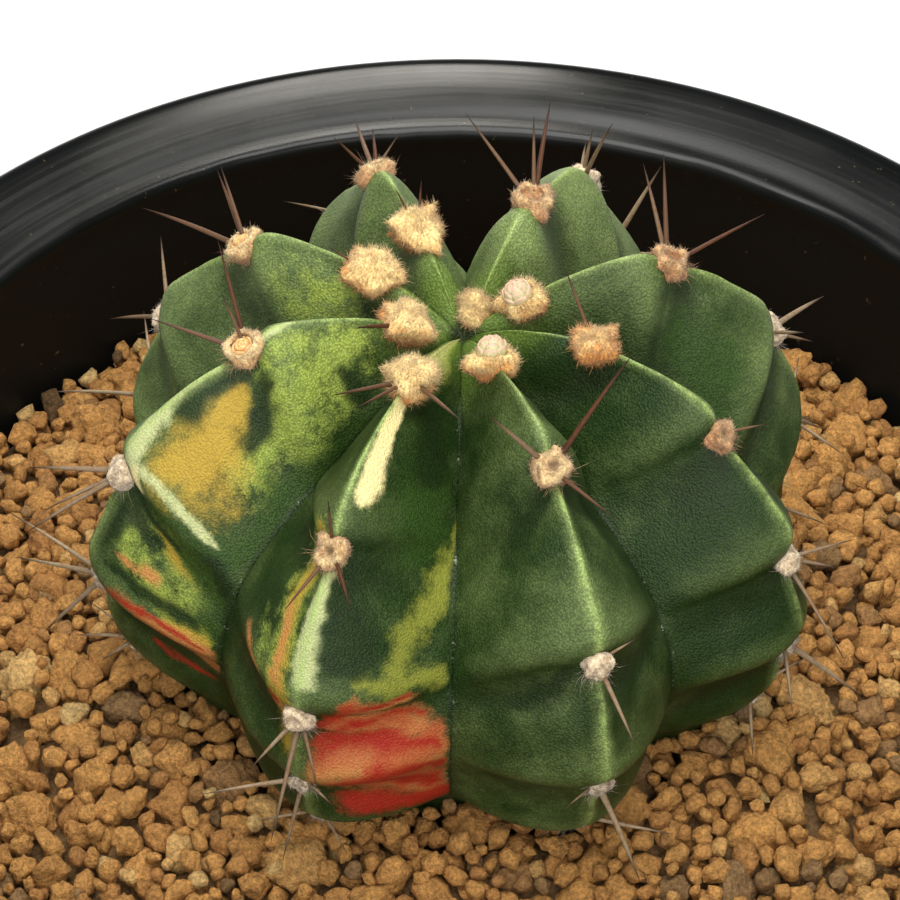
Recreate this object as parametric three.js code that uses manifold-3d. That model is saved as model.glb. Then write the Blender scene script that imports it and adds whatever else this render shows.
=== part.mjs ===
// A potted moon cactus: an eight-ribbed globular cactus on its own roots, in a round nursery pot
// filled with clay granules. Lengths are in millimetres, +Z is up, and the origin is the centre of
// the pot's foot.
import * as THREE from 'three';
import { mergeVertices } from 'three/addons/utils/BufferGeometryUtils.js';
import Module from 'manifold-3d';

const wasm = await Module();
wasm.setup();

// Driving dimensions of the pot. Its height is taken halfway across the lip, which falls inwards.
const POT_HEIGHT = 78;
const RIM_RADIUS = 45;
const LIP_WIDTH = 7.1;
const LIP_FALL = 0.9;
const LIP_DEPTH = 10.5;
const LIP_THICKNESS = 2.4;
const LIP_OUTER_ROUNDING = 1.3;
const LIP_INNER_ROUNDING = 0.8;
const LIP_INSIDE_DEPTH = 3;
const WALL = 1.4;
const WALL_TOP_RADIUS = 39.6;
const WALL_FOOT_RADIUS = 31.2;
const FOOT_DEPTH = 2.2;
const FOOT_WIDTH = 3.2;
const FILLET = 1;
const EDGE_BREAK = 0.6;
const DRAIN_RADIUS = 3;
const DRAIN_RING_RADIUS = 16;
const DRAIN_COUNT = 6;

// Driving dimensions of the soil. Its levels are measured down from the rim.
const SOIL_DEPTH_AT_WALL = 11.5;
const SOIL_DEPTH_AT_PLANT = 5.8;
const MOUND_RADIUS = 18;
const GRANULE_SPACING = 5.2;
const GRANULE_RELIEF = 1.2;
const GRANULE_SCATTER = 0.17;
const GRANULE_LIFT = 0.25;
const GRANULE_TOP = 0.75;
const SHOULDER_REACH = [0.5, 0.76];
const SHOULDER_HEIGHT = [0.3, 0.7];
const AREOLE_CLEARANCE = 1.2;

// Driving dimensions of the plant. Heights are measured from the rim, radii from the plant's axis,
// and stations along a rib's crest from the apex.
const PLANT_X = -0.8;
const RIB_PROFILE = [
  { crest: [0, 17.7], groove: [0, 17.7] },
  { crest: [2.5, 19.2], groove: [2.0, 18.2] },
  { crest: [5.5, 20.3], groove: [4.0, 17.2] },
  { crest: [9.0, 20.7], groove: [6.2, 15.6] },
  { crest: [13.0, 19.7], groove: [9.3, 13.6] },
  { crest: [16.6, 16.9], groove: [12.5, 11.6] },
  { crest: [19.6, 12.8], groove: [15.5, 9.2] },
  { crest: [21.3, 8.0], groove: [17.5, 6.0] },
  { crest: [21.6, 3.0], groove: [18.1, 2.5] },
  { crest: [20.4, -1.5], groove: [17.2, -1.6] },
  { crest: [17.9, -5.8], groove: [15.2, -5.4] },
  { crest: [14.3, -10.0], groove: [12.6, -9.8] },
  { crest: [9.8, -13.6], groove: [9.4, -13.6] },
  { crest: [5.4, -17.2], groove: [5.4, -17.2] },
  { crest: [3.4, -23.0], groove: [3.4, -23.0] },
  { crest: [2.2, -31.0], groove: [2.2, -31.0] },
  { crest: [0, -39.0], groove: [0, -39.0] },
];
const CREST_FULLNESS = 1.2;
const GROOVE_SHARPNESS = 2.2;

// The girth of a rib is the share of its radius that it keeps below the shoulder, between these
// stations
const GIRTH_STATIONS = [9, 22];

// The relief of a rib, in mm, with places and widths along the crest from an areole. Spread is the
// power of the cosine that fades a form off the crest, and a form beside the crest is highest at an
// angle round from it.
const FULL_RELIEF_SPAN = 9;
const CHIN = { height: 0.6, lean: 3, spread: 1.5 };
const SEAT = { height: -0.25, place: 0, width: 1.1, spread: 4 };
const FLANK_RIDGE = { height: 0.38, place: -1.2, width: 1.5 };
const HOLLOW = { height: -0.55, place: 1.7, width: 1.6 };
const BESIDE_CREST = { angle: 30, spread: 0.4 };

// Driving dimensions of what grows on the ribs
const PAD_RADIUS_AT_APEX = 1.77;
const PAD_TAPER = 0.024;
const PAD_SIDES = 6;
const PAD_LUMPS = 0.09;
const PAD_LEVELS = [
  { width: 0.66, height: 0.62 },
  { width: 1, height: -0.05 },
  { width: 0.8, height: -0.75 },
];
const PAD_TOP = 0.82;
const SPINE_RADIUS = 0.26;
const SPINE_MIDDLE = { reach: 0.55, radius: 0.2 };
const SPINE_ROOT_DEPTH = 0.1;
const SPINE_DROOP = 0.08;
const SPINE_CLEARANCE = 0.5;
const BUD_RADIUS = 0.85;
const BUD_HEIGHT = 0.8;
const BUDDING_AZIMUTHS = [20, 293];

// The gap that pieces resting on each other keep
const GAP = 0.35;

// The azimuth of each rib in degrees, anticlockwise from +X, with its girth and the stations of its
// areoles. Each areole's spines are [turn, lift, length]: degrees round from uphill, degrees up from
// the skin, mm.
const RIBS = [
  {
    azimuth: 20,
    girth: 0.975,
    stations: [4.1, 13.5, 23.9, 31.9, 39],
    spines: [
      [],
      [[75, 35, 5], [80, 45, 5.5], [165, 35, 5.5]],
      [[135, 35, 6], [175, 35, 2.5], [-60, 30, 3]],
      [[-100, 35, 3], [150, 35, 5], [80, 30, 4]],
      [[-60, 30, 4], [60, 30, 4]],
    ],
  },
  {
    azimuth: 64,
    girth: 0.95,
    stations: [1.9, 9.8, 18.2, 29, 36.5],
    spines: [
      [],
      [[105, 35, 5.5], [160, 35, 5.5], [150, 50, 4]],
      [[-20, 35, 5.5], [-5, 50, 3], [150, 35, 4]],
      [[-20, 35, 6], [-105, 35, 3], [120, 30, 5]],
      [[-70, 30, 5], [70, 30, 5], [180, 30, 4]],
    ],
  },
  {
    azimuth: 114,
    girth: 0.89,
    stations: [7.2, 14.6, 24, 32.5, 39.5],
    spines: [
      [[160, 40, 1.5], [-160, 40, 1.5]],
      [[-170, 35, 5], [-155, 35, 3.5], [60, 50, 3]],
      [[-60, 35, 5], [95, 35, 2.8], [180, 30, 4]],
      [[-90, 30, 5], [90, 30, 5], [180, 25, 5]],
      [[-60, 30, 4], [60, 30, 4]],
    ],
  },
  {
    azimuth: 155,
    girth: 0.955,
    stations: [6.5, 15.5, 25.5, 33, 39.8],
    spines: [
      [[170, 20, 1.5]],
      [[-165, 35, 6.5], [-120, 35, 5], [-110, 45, 4.5]],
      [[-160, 35, 5], [-90, 35, 5]],
      [[50, 35, 6.5], [-60, 30, 5], [180, 25, 4]],
      [[-60, 30, 4], [60, 30, 4]],
    ],
  },
  {
    azimuth: 196,
    girth: 1,
    stations: [4, 13.6, 24.6, 33.3, 39.5],
    spines: [
      [[150, 20, 4]],
      [[-145, 35, 4.5], [-75, 35, 5.5], [-75, 60, 2.5]],
      [[-135, 35, 5.5], [-165, 35, 4.5], [-175, 35, 6]],
      [[-80, 35, 7], [-115, 35, 7], [-160, 35, 6]],
      [[5, 35, 3.5], [45, 35, 2.5], [-90, 25, 4]],
    ],
  },
  {
    azimuth: 246,
    girth: 1,
    stations: [7.6, 19.3, 30, 35.8, 41.5],
    spines: [
      [[-150, 12, 4], [-170, 15, 4], [125, 12, 4]],
      [[-10, 35, 2.5], [-165, 35, 3], [130, 35, 3]],
      [[-145, 35, 3], [175, 35, 6], [135, 35, 3]],
      [[-75, 35, 5], [-175, 35, 4.5], [60, 25, 2.5]],
      [[-60, 30, 3], [60, 30, 3]],
    ],
  },
  {
    azimuth: 293,
    girth: 1,
    stations: [5.2, 14.1, 25.6, 35.3, 42],
    spines: [
      [],
      [[-45, 35, 4.5], [50, 35, 7], [160, 35, 4]],
      [[170, 35, 4], [60, 20, 1.5]],
      [[160, 35, 6], [-70, 25, 2]],
      [[-140, 35, 4], [160, 35, 3.5], [70, 25, 5]],
    ],
  },
  {
    azimuth: 335,
    girth: 0.995,
    stations: [9, 18, 27.5, 34.5, 40.2],
    spines: [
      [[40, 35, 3.5]],
      [[120, 20, 2]],
      [[105, 35, 3.5], [130, 35, 2.5], [-160, 35, 5.5]],
      [[145, 35, 7.5], [-90, 30, 4]],
      [[70, 20, 3.5], [-100, 35, 3]],
    ],
  },
];

// Mesh fineness
const POT_SEGMENTS = 48;
const ROUNDING_STEPS = 4;
const SOIL_SEGMENTS = 64;
const FLANK_ANGLES = [0, 24, 46, 68, 90];
const APEX_ROWS = [0.5, 1];
const AREOLE_ROWS = [0.14, 0.4, 0.66, 0.86, 1];
const BURIED_STATIONS = [46, 51, 56, 63, 72];
const TANGENT_STEP = 0.002;

const { degToRad: radians, lerp, mapLinear, smoothstep } = THREE.MathUtils;
const up = new THREE.Vector3(0, 0, 1);

// A seeded random source, so that every build gives the same part
function randomSource(seed) {
  let state = seed;
  return () => {
    state = (Math.imul(state, 1664525) + 1013904223) >>> 0;
    return state / 4294967296;
  };
}

function between(random, low, high) {
  return lerp(low, high, random());
}

// Closed bodies

function toSolid(geometry) {
  const bare = geometry.clone();
  bare.deleteAttribute('normal');
  bare.deleteAttribute('uv');
  const merged = mergeVertices(bare, 1e-4);
  return new wasm.Manifold(new wasm.Mesh({
    numProp: 3,
    vertProperties: new Float32Array(merged.attributes.position.array),
    triVerts: new Uint32Array(merged.index.array),
  }));
}

// The triangles of the shell with the most corners: a hollow that joining sealed is filled, and a
// loose scrap is dropped
function mainShell(corners) {
  const parent = Array.from({ length: Math.max(...corners) + 1 }, (unused, i) => i);
  const root = (start) => {
    let i = start;
    while (parent[i] !== i) {
      parent[i] = parent[parent[i]];
      i = parent[i];
    }
    return i;
  };
  for (let i = 0; i < corners.length; i += 3) {
    parent[root(corners[i])] = root(corners[i + 1]);
    parent[root(corners[i + 1])] = root(corners[i + 2]);
  }
  const sizes = new Map();
  corners.forEach((corner) => sizes.set(root(corner), (sizes.get(root(corner)) ?? 0) + 1));
  const [main] = [...sizes].sort((a, b) => b[1] - a[1])[0];
  return corners.filter((corner) => root(corner) === main);
}

function toGeometry(solid) {
  const mesh = solid.getMesh();
  const geometry = new THREE.BufferGeometry();
  geometry.setAttribute('position', new THREE.BufferAttribute(mesh.vertProperties, 3));
  geometry.setIndex(mainShell(Array.from(mesh.triVerts)));
  geometry.computeVertexNormals();
  return geometry;
}

// A surface of closed rings of points between a first and a last point on its axis
function ringSurface(first, rings, last) {
  const points = [first, ...rings.flat(), last];
  const count = rings[0].length;
  const index = [];
  for (let i = 0; i < count; i += 1) {
    const next = (i + 1) % count;
    index.push(0, 1 + i, 1 + next);
    for (let ring = 0; ring + 1 < rings.length; ring += 1) {
      const a = 1 + ring * count;
      const b = a + count;
      index.push(a + i, b + i, b + next, a + i, b + next, a + next);
    }
    const end = 1 + (rings.length - 1) * count;
    index.push(end + next, end + i, points.length - 1);
  }
  const geometry = new THREE.BufferGeometry().setFromPoints(points);
  geometry.setIndex(index);
  return geometry;
}

// Pot

function wallRadius(height) {
  return mapLinear(height, 0, POT_HEIGHT, WALL_FOOT_RADIUS, WALL_TOP_RADIUS);
}

// A quarter round of the lip's outline, anticlockwise from an angle in degrees
function quarterRound(radius, height, size, start) {
  const points = [];
  for (let step = 0; step <= ROUNDING_STEPS; step += 1) {
    const angle = radians(start + (90 * step) / ROUNDING_STEPS);
    points.push([radius + size * Math.cos(angle), height + size * Math.sin(angle)]);
  }
  return points;
}

function makePot() {
  const lipInside = RIM_RADIUS - LIP_WIDTH;
  const lipCrown = POT_HEIGHT + LIP_FALL / 2;
  const lipEdge = POT_HEIGHT - LIP_FALL / 2;
  const lipUnderside = POT_HEIGHT - LIP_THICKNESS;
  const skirtBottom = POT_HEIGHT - LIP_DEPTH;
  const skirtInside = RIM_RADIUS - WALL;
  const floorTop = FOOT_DEPTH + WALL;
  const footInside = WALL_FOOT_RADIUS - FOOT_WIDTH;
  const outer = LIP_OUTER_ROUNDING;
  const inner = LIP_INNER_ROUNDING;
  const outline = [
    [footInside, 0],
    [WALL_FOOT_RADIUS - EDGE_BREAK, 0],
    [WALL_FOOT_RADIUS, EDGE_BREAK],
    [wallRadius(lipUnderside - FILLET), lipUnderside - FILLET],
    [wallRadius(lipUnderside) + FILLET, lipUnderside],
    [skirtInside - FILLET, lipUnderside],
    [skirtInside, lipUnderside - FILLET],
    [skirtInside, skirtBottom],
    [RIM_RADIUS - EDGE_BREAK, skirtBottom],
    [RIM_RADIUS, skirtBottom + EDGE_BREAK],
    ...quarterRound(RIM_RADIUS - outer, lipCrown - outer, outer, 0),
    ...quarterRound(lipInside + inner, lipEdge - inner, inner, 90),
    [wallRadius(POT_HEIGHT - LIP_INSIDE_DEPTH) - WALL, POT_HEIGHT - LIP_INSIDE_DEPTH],
    [wallRadius(floorTop + FILLET) - WALL, floorTop + FILLET],
    [wallRadius(floorTop) - WALL - FILLET, floorTop],
    [DRAIN_RADIUS, floorTop],
    [DRAIN_RADIUS, FOOT_DEPTH],
    [footInside - EDGE_BREAK, FOOT_DEPTH],
    [footInside, FOOT_DEPTH - EDGE_BREAK],
    [footInside, 0],
  ];
  const profile = outline.map(([radius, height]) => new THREE.Vector2(radius, height));
  const shell = new THREE.LatheGeometry(profile, POT_SEGMENTS).rotateX(Math.PI / 2);
  let pot = toSolid(shell);
  for (let hole = 0; hole < DRAIN_COUNT; hole += 1) {
    const angle = (hole * 2 * Math.PI) / DRAIN_COUNT;
    const drill = new THREE.CylinderGeometry(DRAIN_RADIUS, DRAIN_RADIUS, 4 * WALL, 12);
    drill.rotateX(Math.PI / 2);
    drill.translate(
      DRAIN_RING_RADIUS * Math.cos(angle),
      DRAIN_RING_RADIUS * Math.sin(angle),
      FOOT_DEPTH + WALL / 2,
    );
    pot = pot.subtract(toSolid(drill));
  }
  return toGeometry(pot);
}

// Plant

const crestCurve = new THREE.SplineCurve(RIB_PROFILE.map((p) => new THREE.Vector2(...p.crest)));
const grooveCurve = new THREE.SplineCurve(RIB_PROFILE.map((p) => new THREE.Vector2(...p.groove)));
crestCurve.arcLengthDivisions = 800;
const crestLength = crestCurve.getLength();

function crestParameter(station) {
  return crestCurve.getUtoTmapping(Math.min(station / crestLength, 1));
}

// A place on an outline, with the girth taken in or let out below the shoulder
function outlinePoint(curve, t, girth) {
  const [shoulder, waist] = GIRTH_STATIONS.map(crestParameter);
  const point = curve.getPoint(t);
  point.x *= lerp(1, girth, smoothstep(t, shoulder, waist));
  return point;
}

function crestTangent(t, girth) {
  const before = outlinePoint(crestCurve, t - TANGENT_STEP, girth);
  return outlinePoint(crestCurve, t + TANGENT_STEP, girth).sub(before).normalize();
}

// A point at a radius and height in the upright half-plane at an azimuth
function onAxis(radius, height, azimuth) {
  return new THREE.Vector3(
    PLANT_X + radius * Math.cos(azimuth),
    radius * Math.sin(azimuth),
    POT_HEIGHT + height,
  );
}

// The stations of a rib's rows of points: through the apex, from areole to areole, then underground
function rowStations(rib) {
  const rows = APEX_ROWS.map((share) => rib.stations[0] * share);
  for (let i = 0; i + 1 < rib.stations.length; i += 1) {
    AREOLE_ROWS.forEach((share) => rows.push(lerp(rib.stations[i], rib.stations[i + 1], share)));
  }
  return [...rows, ...BURIED_STATIONS];
}

function bell(x, centre, width) {
  return Math.exp(-(((x - centre) / width) ** 2));
}

// How far the skin stands out: a chin that swells on the crest before each areole, a seat for the
// areole, and beside the crest a ridge just above the areole and a hollow below it
function relief(areoles, station, flankAngle) {
  const onCrest = Math.max(Math.cos(flankAngle), 0);
  const aside = flankAngle / radians(BESIDE_CREST.angle);
  const besideCrest = aside * Math.exp(1 - aside) * onCrest ** BESIDE_CREST.spread;
  let rise = 0;
  areoles.forEach((areole, i) => {
    const form = ({ height, place, width }) => height * bell(station - areole, place, width);
    const grown = Math.min(areole / FULL_RELIEF_SPAN, 1);
    rise += form(SEAT) * onCrest ** SEAT.spread;
    rise += grown * (form(FLANK_RIDGE) + form(HOLLOW)) * besideCrest;
    const span = areoles[i + 1] - areole;
    const share = (station - areole) / span;
    if (share > 0 && share < 1) {
      const chin = CHIN.height * Math.sin(Math.PI * share ** CHIN.lean) * onCrest ** CHIN.spread;
      rise += Math.min(span / FULL_RELIEF_SPAN, 1) * chin;
    }
  });
  return rise;
}

// One point of the ribbed skin, from the crest at 0 to the groove at 90 degrees, on the side that
// faces the neighbouring rib
function skinPoint(rib, neighbour, side, rowIndex, flankAngle) {
  const station = rib.rows[rowIndex];
  const t = crestParameter(station);
  const shared = (t + crestParameter(neighbour.rows[rowIndex])) / 2;
  const azimuth = radians(rib.azimuth);
  let turn = radians(neighbour.azimuth) - azimuth;
  turn = Math.atan2(Math.sin(turn), Math.cos(turn));
  const crest2 = outlinePoint(crestCurve, t, rib.girth);
  const groove2 = outlinePoint(grooveCurve, shared, (rib.girth + neighbour.girth) / 2);
  const crest = onAxis(crest2.x, crest2.y, azimuth);
  const groove = onAxis(groove2.x, groove2.y, azimuth + turn / 2);
  const sideways = new THREE.Vector3(-Math.sin(azimuth), Math.cos(azimuth), 0);
  const toGroove = groove.clone().sub(crest);
  const width = sideways.clone().multiplyScalar(toGroove.dot(sideways));
  const depth = toGroove.clone().sub(width);
  const across = Math.sin(flankAngle) ** CREST_FULLNESS;
  const down = 1 - Math.cos(flankAngle) ** GROOVE_SHARPNESS;
  const tangent = crestTangent(t, rib.girth);
  const outward = onAxis(-tangent.y, tangent.x, azimuth).sub(onAxis(0, 0, azimuth));
  outward.multiplyScalar(Math.cos(flankAngle));
  outward.addScaledVector(sideways, side * Math.sin(flankAngle)).normalize();
  return crest
    .addScaledVector(width, across)
    .addScaledVector(depth, down)
    .addScaledVector(outward, relief(rib.stations, station, flankAngle));
}

// The rings of the skin run anticlockwise round the axis, from groove to groove over every crest
function makeBody() {
  const ribs = RIBS.map((rib) => ({ ...rib, rows: rowStations(rib) }));
  const angles = FLANK_ANGLES.map(radians);
  const rings = ribs[0].rows.map((unused, rowIndex) => ribs.flatMap((rib, i) => {
    const before = ribs[(i + ribs.length - 1) % ribs.length];
    const after = ribs[(i + 1) % ribs.length];
    const left = angles.slice(1).reverse().map((a) => skinPoint(rib, before, -1, rowIndex, a));
    const right = angles.slice(0, -1).map((a) => skinPoint(rib, after, 1, rowIndex, a));
    return [...left, ...right];
  }));
  const first = onAxis(0, RIB_PROFILE[0].crest[1], 0);
  const last = onAxis(0, RIB_PROFILE.at(-1).crest[1], 0);
  return ringSurface(first, rings, last);
}

// The same surface moved out along its normals
function swollen(geometry, distance) {
  const grown = geometry.clone();
  grown.computeVertexNormals();
  const place = grown.attributes.position;
  const normal = grown.attributes.normal;
  for (let i = 0; i < place.count; i += 1) {
    const point = new THREE.Vector3().fromBufferAttribute(place, i);
    point.addScaledVector(new THREE.Vector3().fromBufferAttribute(normal, i), distance);
    place.setXYZ(i, point.x, point.y, point.z);
  }
  return grown;
}

// Where an areole sits: its place on the crest, the way out of the skin, uphill, and sideways
function areoleFrame(rib, station) {
  const t = crestParameter(station);
  const azimuth = radians(rib.azimuth);
  const point = outlinePoint(crestCurve, t, rib.girth);
  const tangent = crestTangent(t, rib.girth);
  const radial = new THREE.Vector3(Math.cos(azimuth), Math.sin(azimuth), 0);
  const uphill = radial.clone().multiplyScalar(-tangent.x).addScaledVector(up, -tangent.y);
  const outward = radial.clone().multiplyScalar(-tangent.y).addScaledVector(up, tangent.x);
  const sideways = new THREE.Vector3(-Math.sin(azimuth), Math.cos(azimuth), 0);
  return { place: onAxis(point.x, point.y, azimuth), outward, uphill, sideways };
}

function padRadius(station) {
  return PAD_RADIUS_AT_APEX - PAD_TAPER * station;
}

// A woolly pad: a lumpy dome whose root is sunk in the skin
function makePad(frame, radius, random) {
  const at = (x, y, z) => frame.place.clone()
    .addScaledVector(frame.sideways, x * radius)
    .addScaledVector(frame.uphill, y * radius)
    .addScaledVector(frame.outward, z * radius);
  const rings = PAD_LEVELS.map(({ width, height }) => {
    const ring = [];
    for (let i = 0; i < PAD_SIDES; i += 1) {
      const angle = (i * 2 * Math.PI) / PAD_SIDES;
      const reach = width * between(random, 1 - PAD_LUMPS, 1 + PAD_LUMPS);
      ring.push(at(reach * Math.cos(angle), reach * Math.sin(angle), height));
    }
    return ring;
  });
  return ringSurface(at(0, 0, PAD_TOP), rings, at(0, 0, PAD_LEVELS.at(-1).height));
}

// The level of the soil without its granules
function soilLevel(x, y) {
  const radius = Math.hypot(x - PLANT_X, y);
  const share = smoothstep(radius, MOUND_RADIUS, RIM_RADIUS - LIP_WIDTH);
  return POT_HEIGHT - lerp(SOIL_DEPTH_AT_PLANT, SOIL_DEPTH_AT_WALL, share);
}

// A spine: a three-sided needle that bends a little towards the ground, and lies over the soil
// where it would reach into it
function makeSpine(frame, [turn, lift, length], padSize) {
  const flat = frame.uphill.clone().multiplyScalar(Math.cos(radians(turn)));
  flat.addScaledVector(frame.sideways, Math.sin(radians(turn)));
  const direction = flat.multiplyScalar(Math.cos(radians(lift)));
  direction.addScaledVector(frame.outward, Math.sin(radians(lift))).normalize();
  const root = frame.place.clone().addScaledVector(frame.outward, -SPINE_ROOT_DEPTH);
  const stops = [{ reach: 0, radius: SPINE_RADIUS }, SPINE_MIDDLE, { reach: 1, radius: 0 }];
  const centres = stops.map(({ reach }) => {
    const point = root.clone().addScaledVector(direction, reach * (length + padSize));
    point.z -= SPINE_DROOP * length * reach ** 2;
    const floor = soilLevel(point.x, point.y) + GRANULE_RELIEF + SPINE_CLEARANCE;
    point.z = reach > 0 ? Math.max(point.z, floor) : point.z;
    return point;
  });
  const along = centres[2].clone().sub(centres[0]).normalize();
  const across = new THREE.Vector3().crossVectors(along, frame.outward).normalize();
  const over = new THREE.Vector3().crossVectors(across, along).normalize();
  const rings = centres.slice(0, 2).map((centre, i) => [90, 210, 330].map((corner) => {
    const angle = radians(corner);
    return centre.clone()
      .addScaledVector(across, stops[i].radius * Math.cos(angle))
      .addScaledVector(over, stops[i].radius * Math.sin(angle));
  }));
  const heel = root.clone().addScaledVector(along, -SPINE_RADIUS / 2);
  return ringSurface(heel, rings, centres[2]);
}

// A flower bud just out of the wool
function makeBud(frame, padSize) {
  const bud = new THREE.SphereGeometry(BUD_RADIUS, 7, 5).rotateX(Math.PI / 2);
  const centre = frame.place.clone().addScaledVector(frame.outward, BUD_HEIGHT * padSize);
  return bud.translate(centre.x, centre.y, centre.z);
}

function makeCactus(body) {
  const random = randomSource(8);
  let cactus = toSolid(body);
  RIBS.forEach((rib) => {
    rib.stations.forEach((station, i) => {
      const frame = areoleFrame(rib, station);
      const padSize = padRadius(station);
      cactus = cactus.add(toSolid(makePad(frame, padSize, random)));
      rib.spines[i].forEach((spine) => {
        cactus = cactus.add(toSolid(makeSpine(frame, spine, padSize)));
      });
      if (i === 0 && BUDDING_AZIMUTHS.includes(rib.azimuth)) {
        cactus = cactus.add(toSolid(makeBud(frame, padSize)));
      }
    });
  });
  return toGeometry(cactus);
}

// Soil

// A bed of granules, one on each place of a six-sided lattice: a flat-topped stone whose corners
// meet its neighbours' corners in the gaps. Its sides go down past the pot's floor.
function makeGranuleBed() {
  const random = randomSource(21);
  const scatter = () => GRANULE_SPACING * between(random, -GRANULE_SCATTER, GRANULE_SCATTER);
  const neighbours = [[1, 0], [0, 1], [-1, 1], [-1, 0], [0, -1], [1, -1]];
  const span = Math.ceil(1.3 * (RIM_RADIUS / GRANULE_SPACING));
  const centres = new Map();
  for (let row = -span; row <= span; row += 1) {
    for (let column = -span; column <= span; column += 1) {
      const x = GRANULE_SPACING * (column + row / 2) + scatter();
      const y = GRANULE_SPACING * row * Math.sin(Math.PI / 3) + scatter();
      centres.set(`${column},${row}`, { x, y });
    }
  }
  const points = [];
  const corners = new Map();
  const addPoint = (x, y, rise) => points.push(new THREE.Vector3(x, y, soilLevel(x, y) + rise)) - 1;
  const cornerBetween = (keys) => {
    const name = [...keys].sort().join(' ');
    if (!corners.has(name)) {
      const around = keys.map((key) => centres.get(key));
      const x = around.reduce((sum, centre) => sum + centre.x, 0) / 3;
      const y = around.reduce((sum, centre) => sum + centre.y, 0) / 3;
      corners.set(name, addPoint(x, y, -GRANULE_RELIEF));
    }
    return corners.get(name);
  };
  const index = [];
  const edges = new Map();
  centres.forEach((centre, key) => {
    if (Math.hypot(centre.x, centre.y) > RIM_RADIUS) {
      return;
    }
    const [column, row] = key.split(',').map(Number);
    const around = neighbours.map(([right, ahead]) => `${column + right},${row + ahead}`);
    const lift = GRANULE_RELIEF * between(random, -GRANULE_LIFT, GRANULE_LIFT);
    const rim = around.map((name, i) => cornerBetween([key, name, around[(i + 1) % 6]]));
    const shoulder = rim.map((corner) => {
      const share = between(random, ...SHOULDER_REACH);
      const x = lerp(centre.x, points[corner].x, share);
      const y = lerp(centre.y, points[corner].y, share);
      return addPoint(x, y, GRANULE_RELIEF * between(random, ...SHOULDER_HEIGHT) + lift);
    });
    const top = addPoint(centre.x, centre.y, GRANULE_RELIEF * GRANULE_TOP + lift);
    for (let i = 0; i < 6; i += 1) {
      const next = (i + 1) % 6;
      index.push(top, shoulder[i], shoulder[next]);
      index.push(shoulder[i], rim[i], rim[next], shoulder[i], rim[next], shoulder[next]);
      edges.set(`${rim[i]} ${rim[next]}`, [rim[i], rim[next]]);
    }
  });
  const below = new Map();
  const underneath = (corner) => {
    if (!below.has(corner)) {
      below.set(corner, points.push(new THREE.Vector3(points[corner].x, points[corner].y, 0)) - 1);
    }
    return below.get(corner);
  };
  const bottom = points.push(new THREE.Vector3(0, 0, 0)) - 1;
  edges.forEach(([from, to]) => {
    if (!edges.has(`${to} ${from}`)) {
      const a = underneath(from);
      const b = underneath(to);
      index.push(from, a, b, from, b, to, a, bottom, b);
    }
  });
  const bed = new THREE.BufferGeometry().setFromPoints(points);
  bed.setIndex(index);
  return bed;
}

// The soil fills the pot up to its granules, clear of the wall, the floor and the plant
function makeSoil(body) {
  const floorTop = FOOT_DEPTH + WALL + GAP;
  const levels = [
    { height: POT_HEIGHT, inset: 0 },
    { height: floorTop + FILLET, inset: 0 },
    { height: floorTop, inset: FILLET },
  ];
  const rings = levels.map(({ height, inset }) => {
    const radius = wallRadius(height) - WALL - GAP - inset;
    const ring = [];
    for (let i = 0; i < SOIL_SEGMENTS; i += 1) {
      const angle = (i * 2 * Math.PI) / SOIL_SEGMENTS;
      ring.push(new THREE.Vector3(radius * Math.cos(angle), radius * Math.sin(angle), height));
    }
    return ring;
  });
  const top = new THREE.Vector3(0, 0, POT_HEIGHT);
  const bottom = new THREE.Vector3(0, 0, floorTop);
  const inside = toSolid(ringSurface(top, rings, bottom));
  let soil = toSolid(makeGranuleBed()).intersect(inside);
  soil = soil.subtract(toSolid(swollen(body, GAP)));
  RIBS.forEach((rib) => {
    const lowest = rib.stations.at(-1);
    const { place } = areoleFrame(rib, lowest);
    const dimple = new THREE.SphereGeometry(padRadius(lowest) + AREOLE_CLEARANCE, 10, 6);
    soil = soil.subtract(toSolid(dimple.translate(place.x, place.y, place.z)));
  });
  return toGeometry(soil);
}

// Assembly

const blackPlastic = new THREE.MeshStandardMaterial({ color: 0x2b2d2c, roughness: 0.45, metalness: 0 });
const clayGranules = new THREE.MeshStandardMaterial({ color: 0xb4864b, roughness: 0.95, metalness: 0 });
const cactusSkin = new THREE.MeshStandardMaterial({ color: 0x4b6a35, roughness: 0.7, metalness: 0 });

function named(name, geometry, material) {
  const mesh = new THREE.Mesh(geometry, material);
  mesh.name = name;
  return mesh;
}

const body = makeBody();
const pottedCactus = new THREE.Group();
pottedCactus.add(named('pot', makePot(), blackPlastic));
pottedCactus.add(named('soil', makeSoil(body), clayGranules));
pottedCactus.add(named('cactus', makeCactus(body), cactusSkin));

export default pottedCactus;
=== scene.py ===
# %% [markdown]
# # A young cactus in a nursery pot
# The solid model gives this plant its size and its main forms: a ribbed body, a bed of clay granules
# and a moulded pot. This lesson gives each of them the surface that a close photograph shows. Every
# length below is a real one in millimetres, and MM turns it into Blender's metres.

import math

import bpy
import numpy as np
from mathutils import Matrix, Vector, noise
from mathutils.bvhtree import BVHTree


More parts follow.
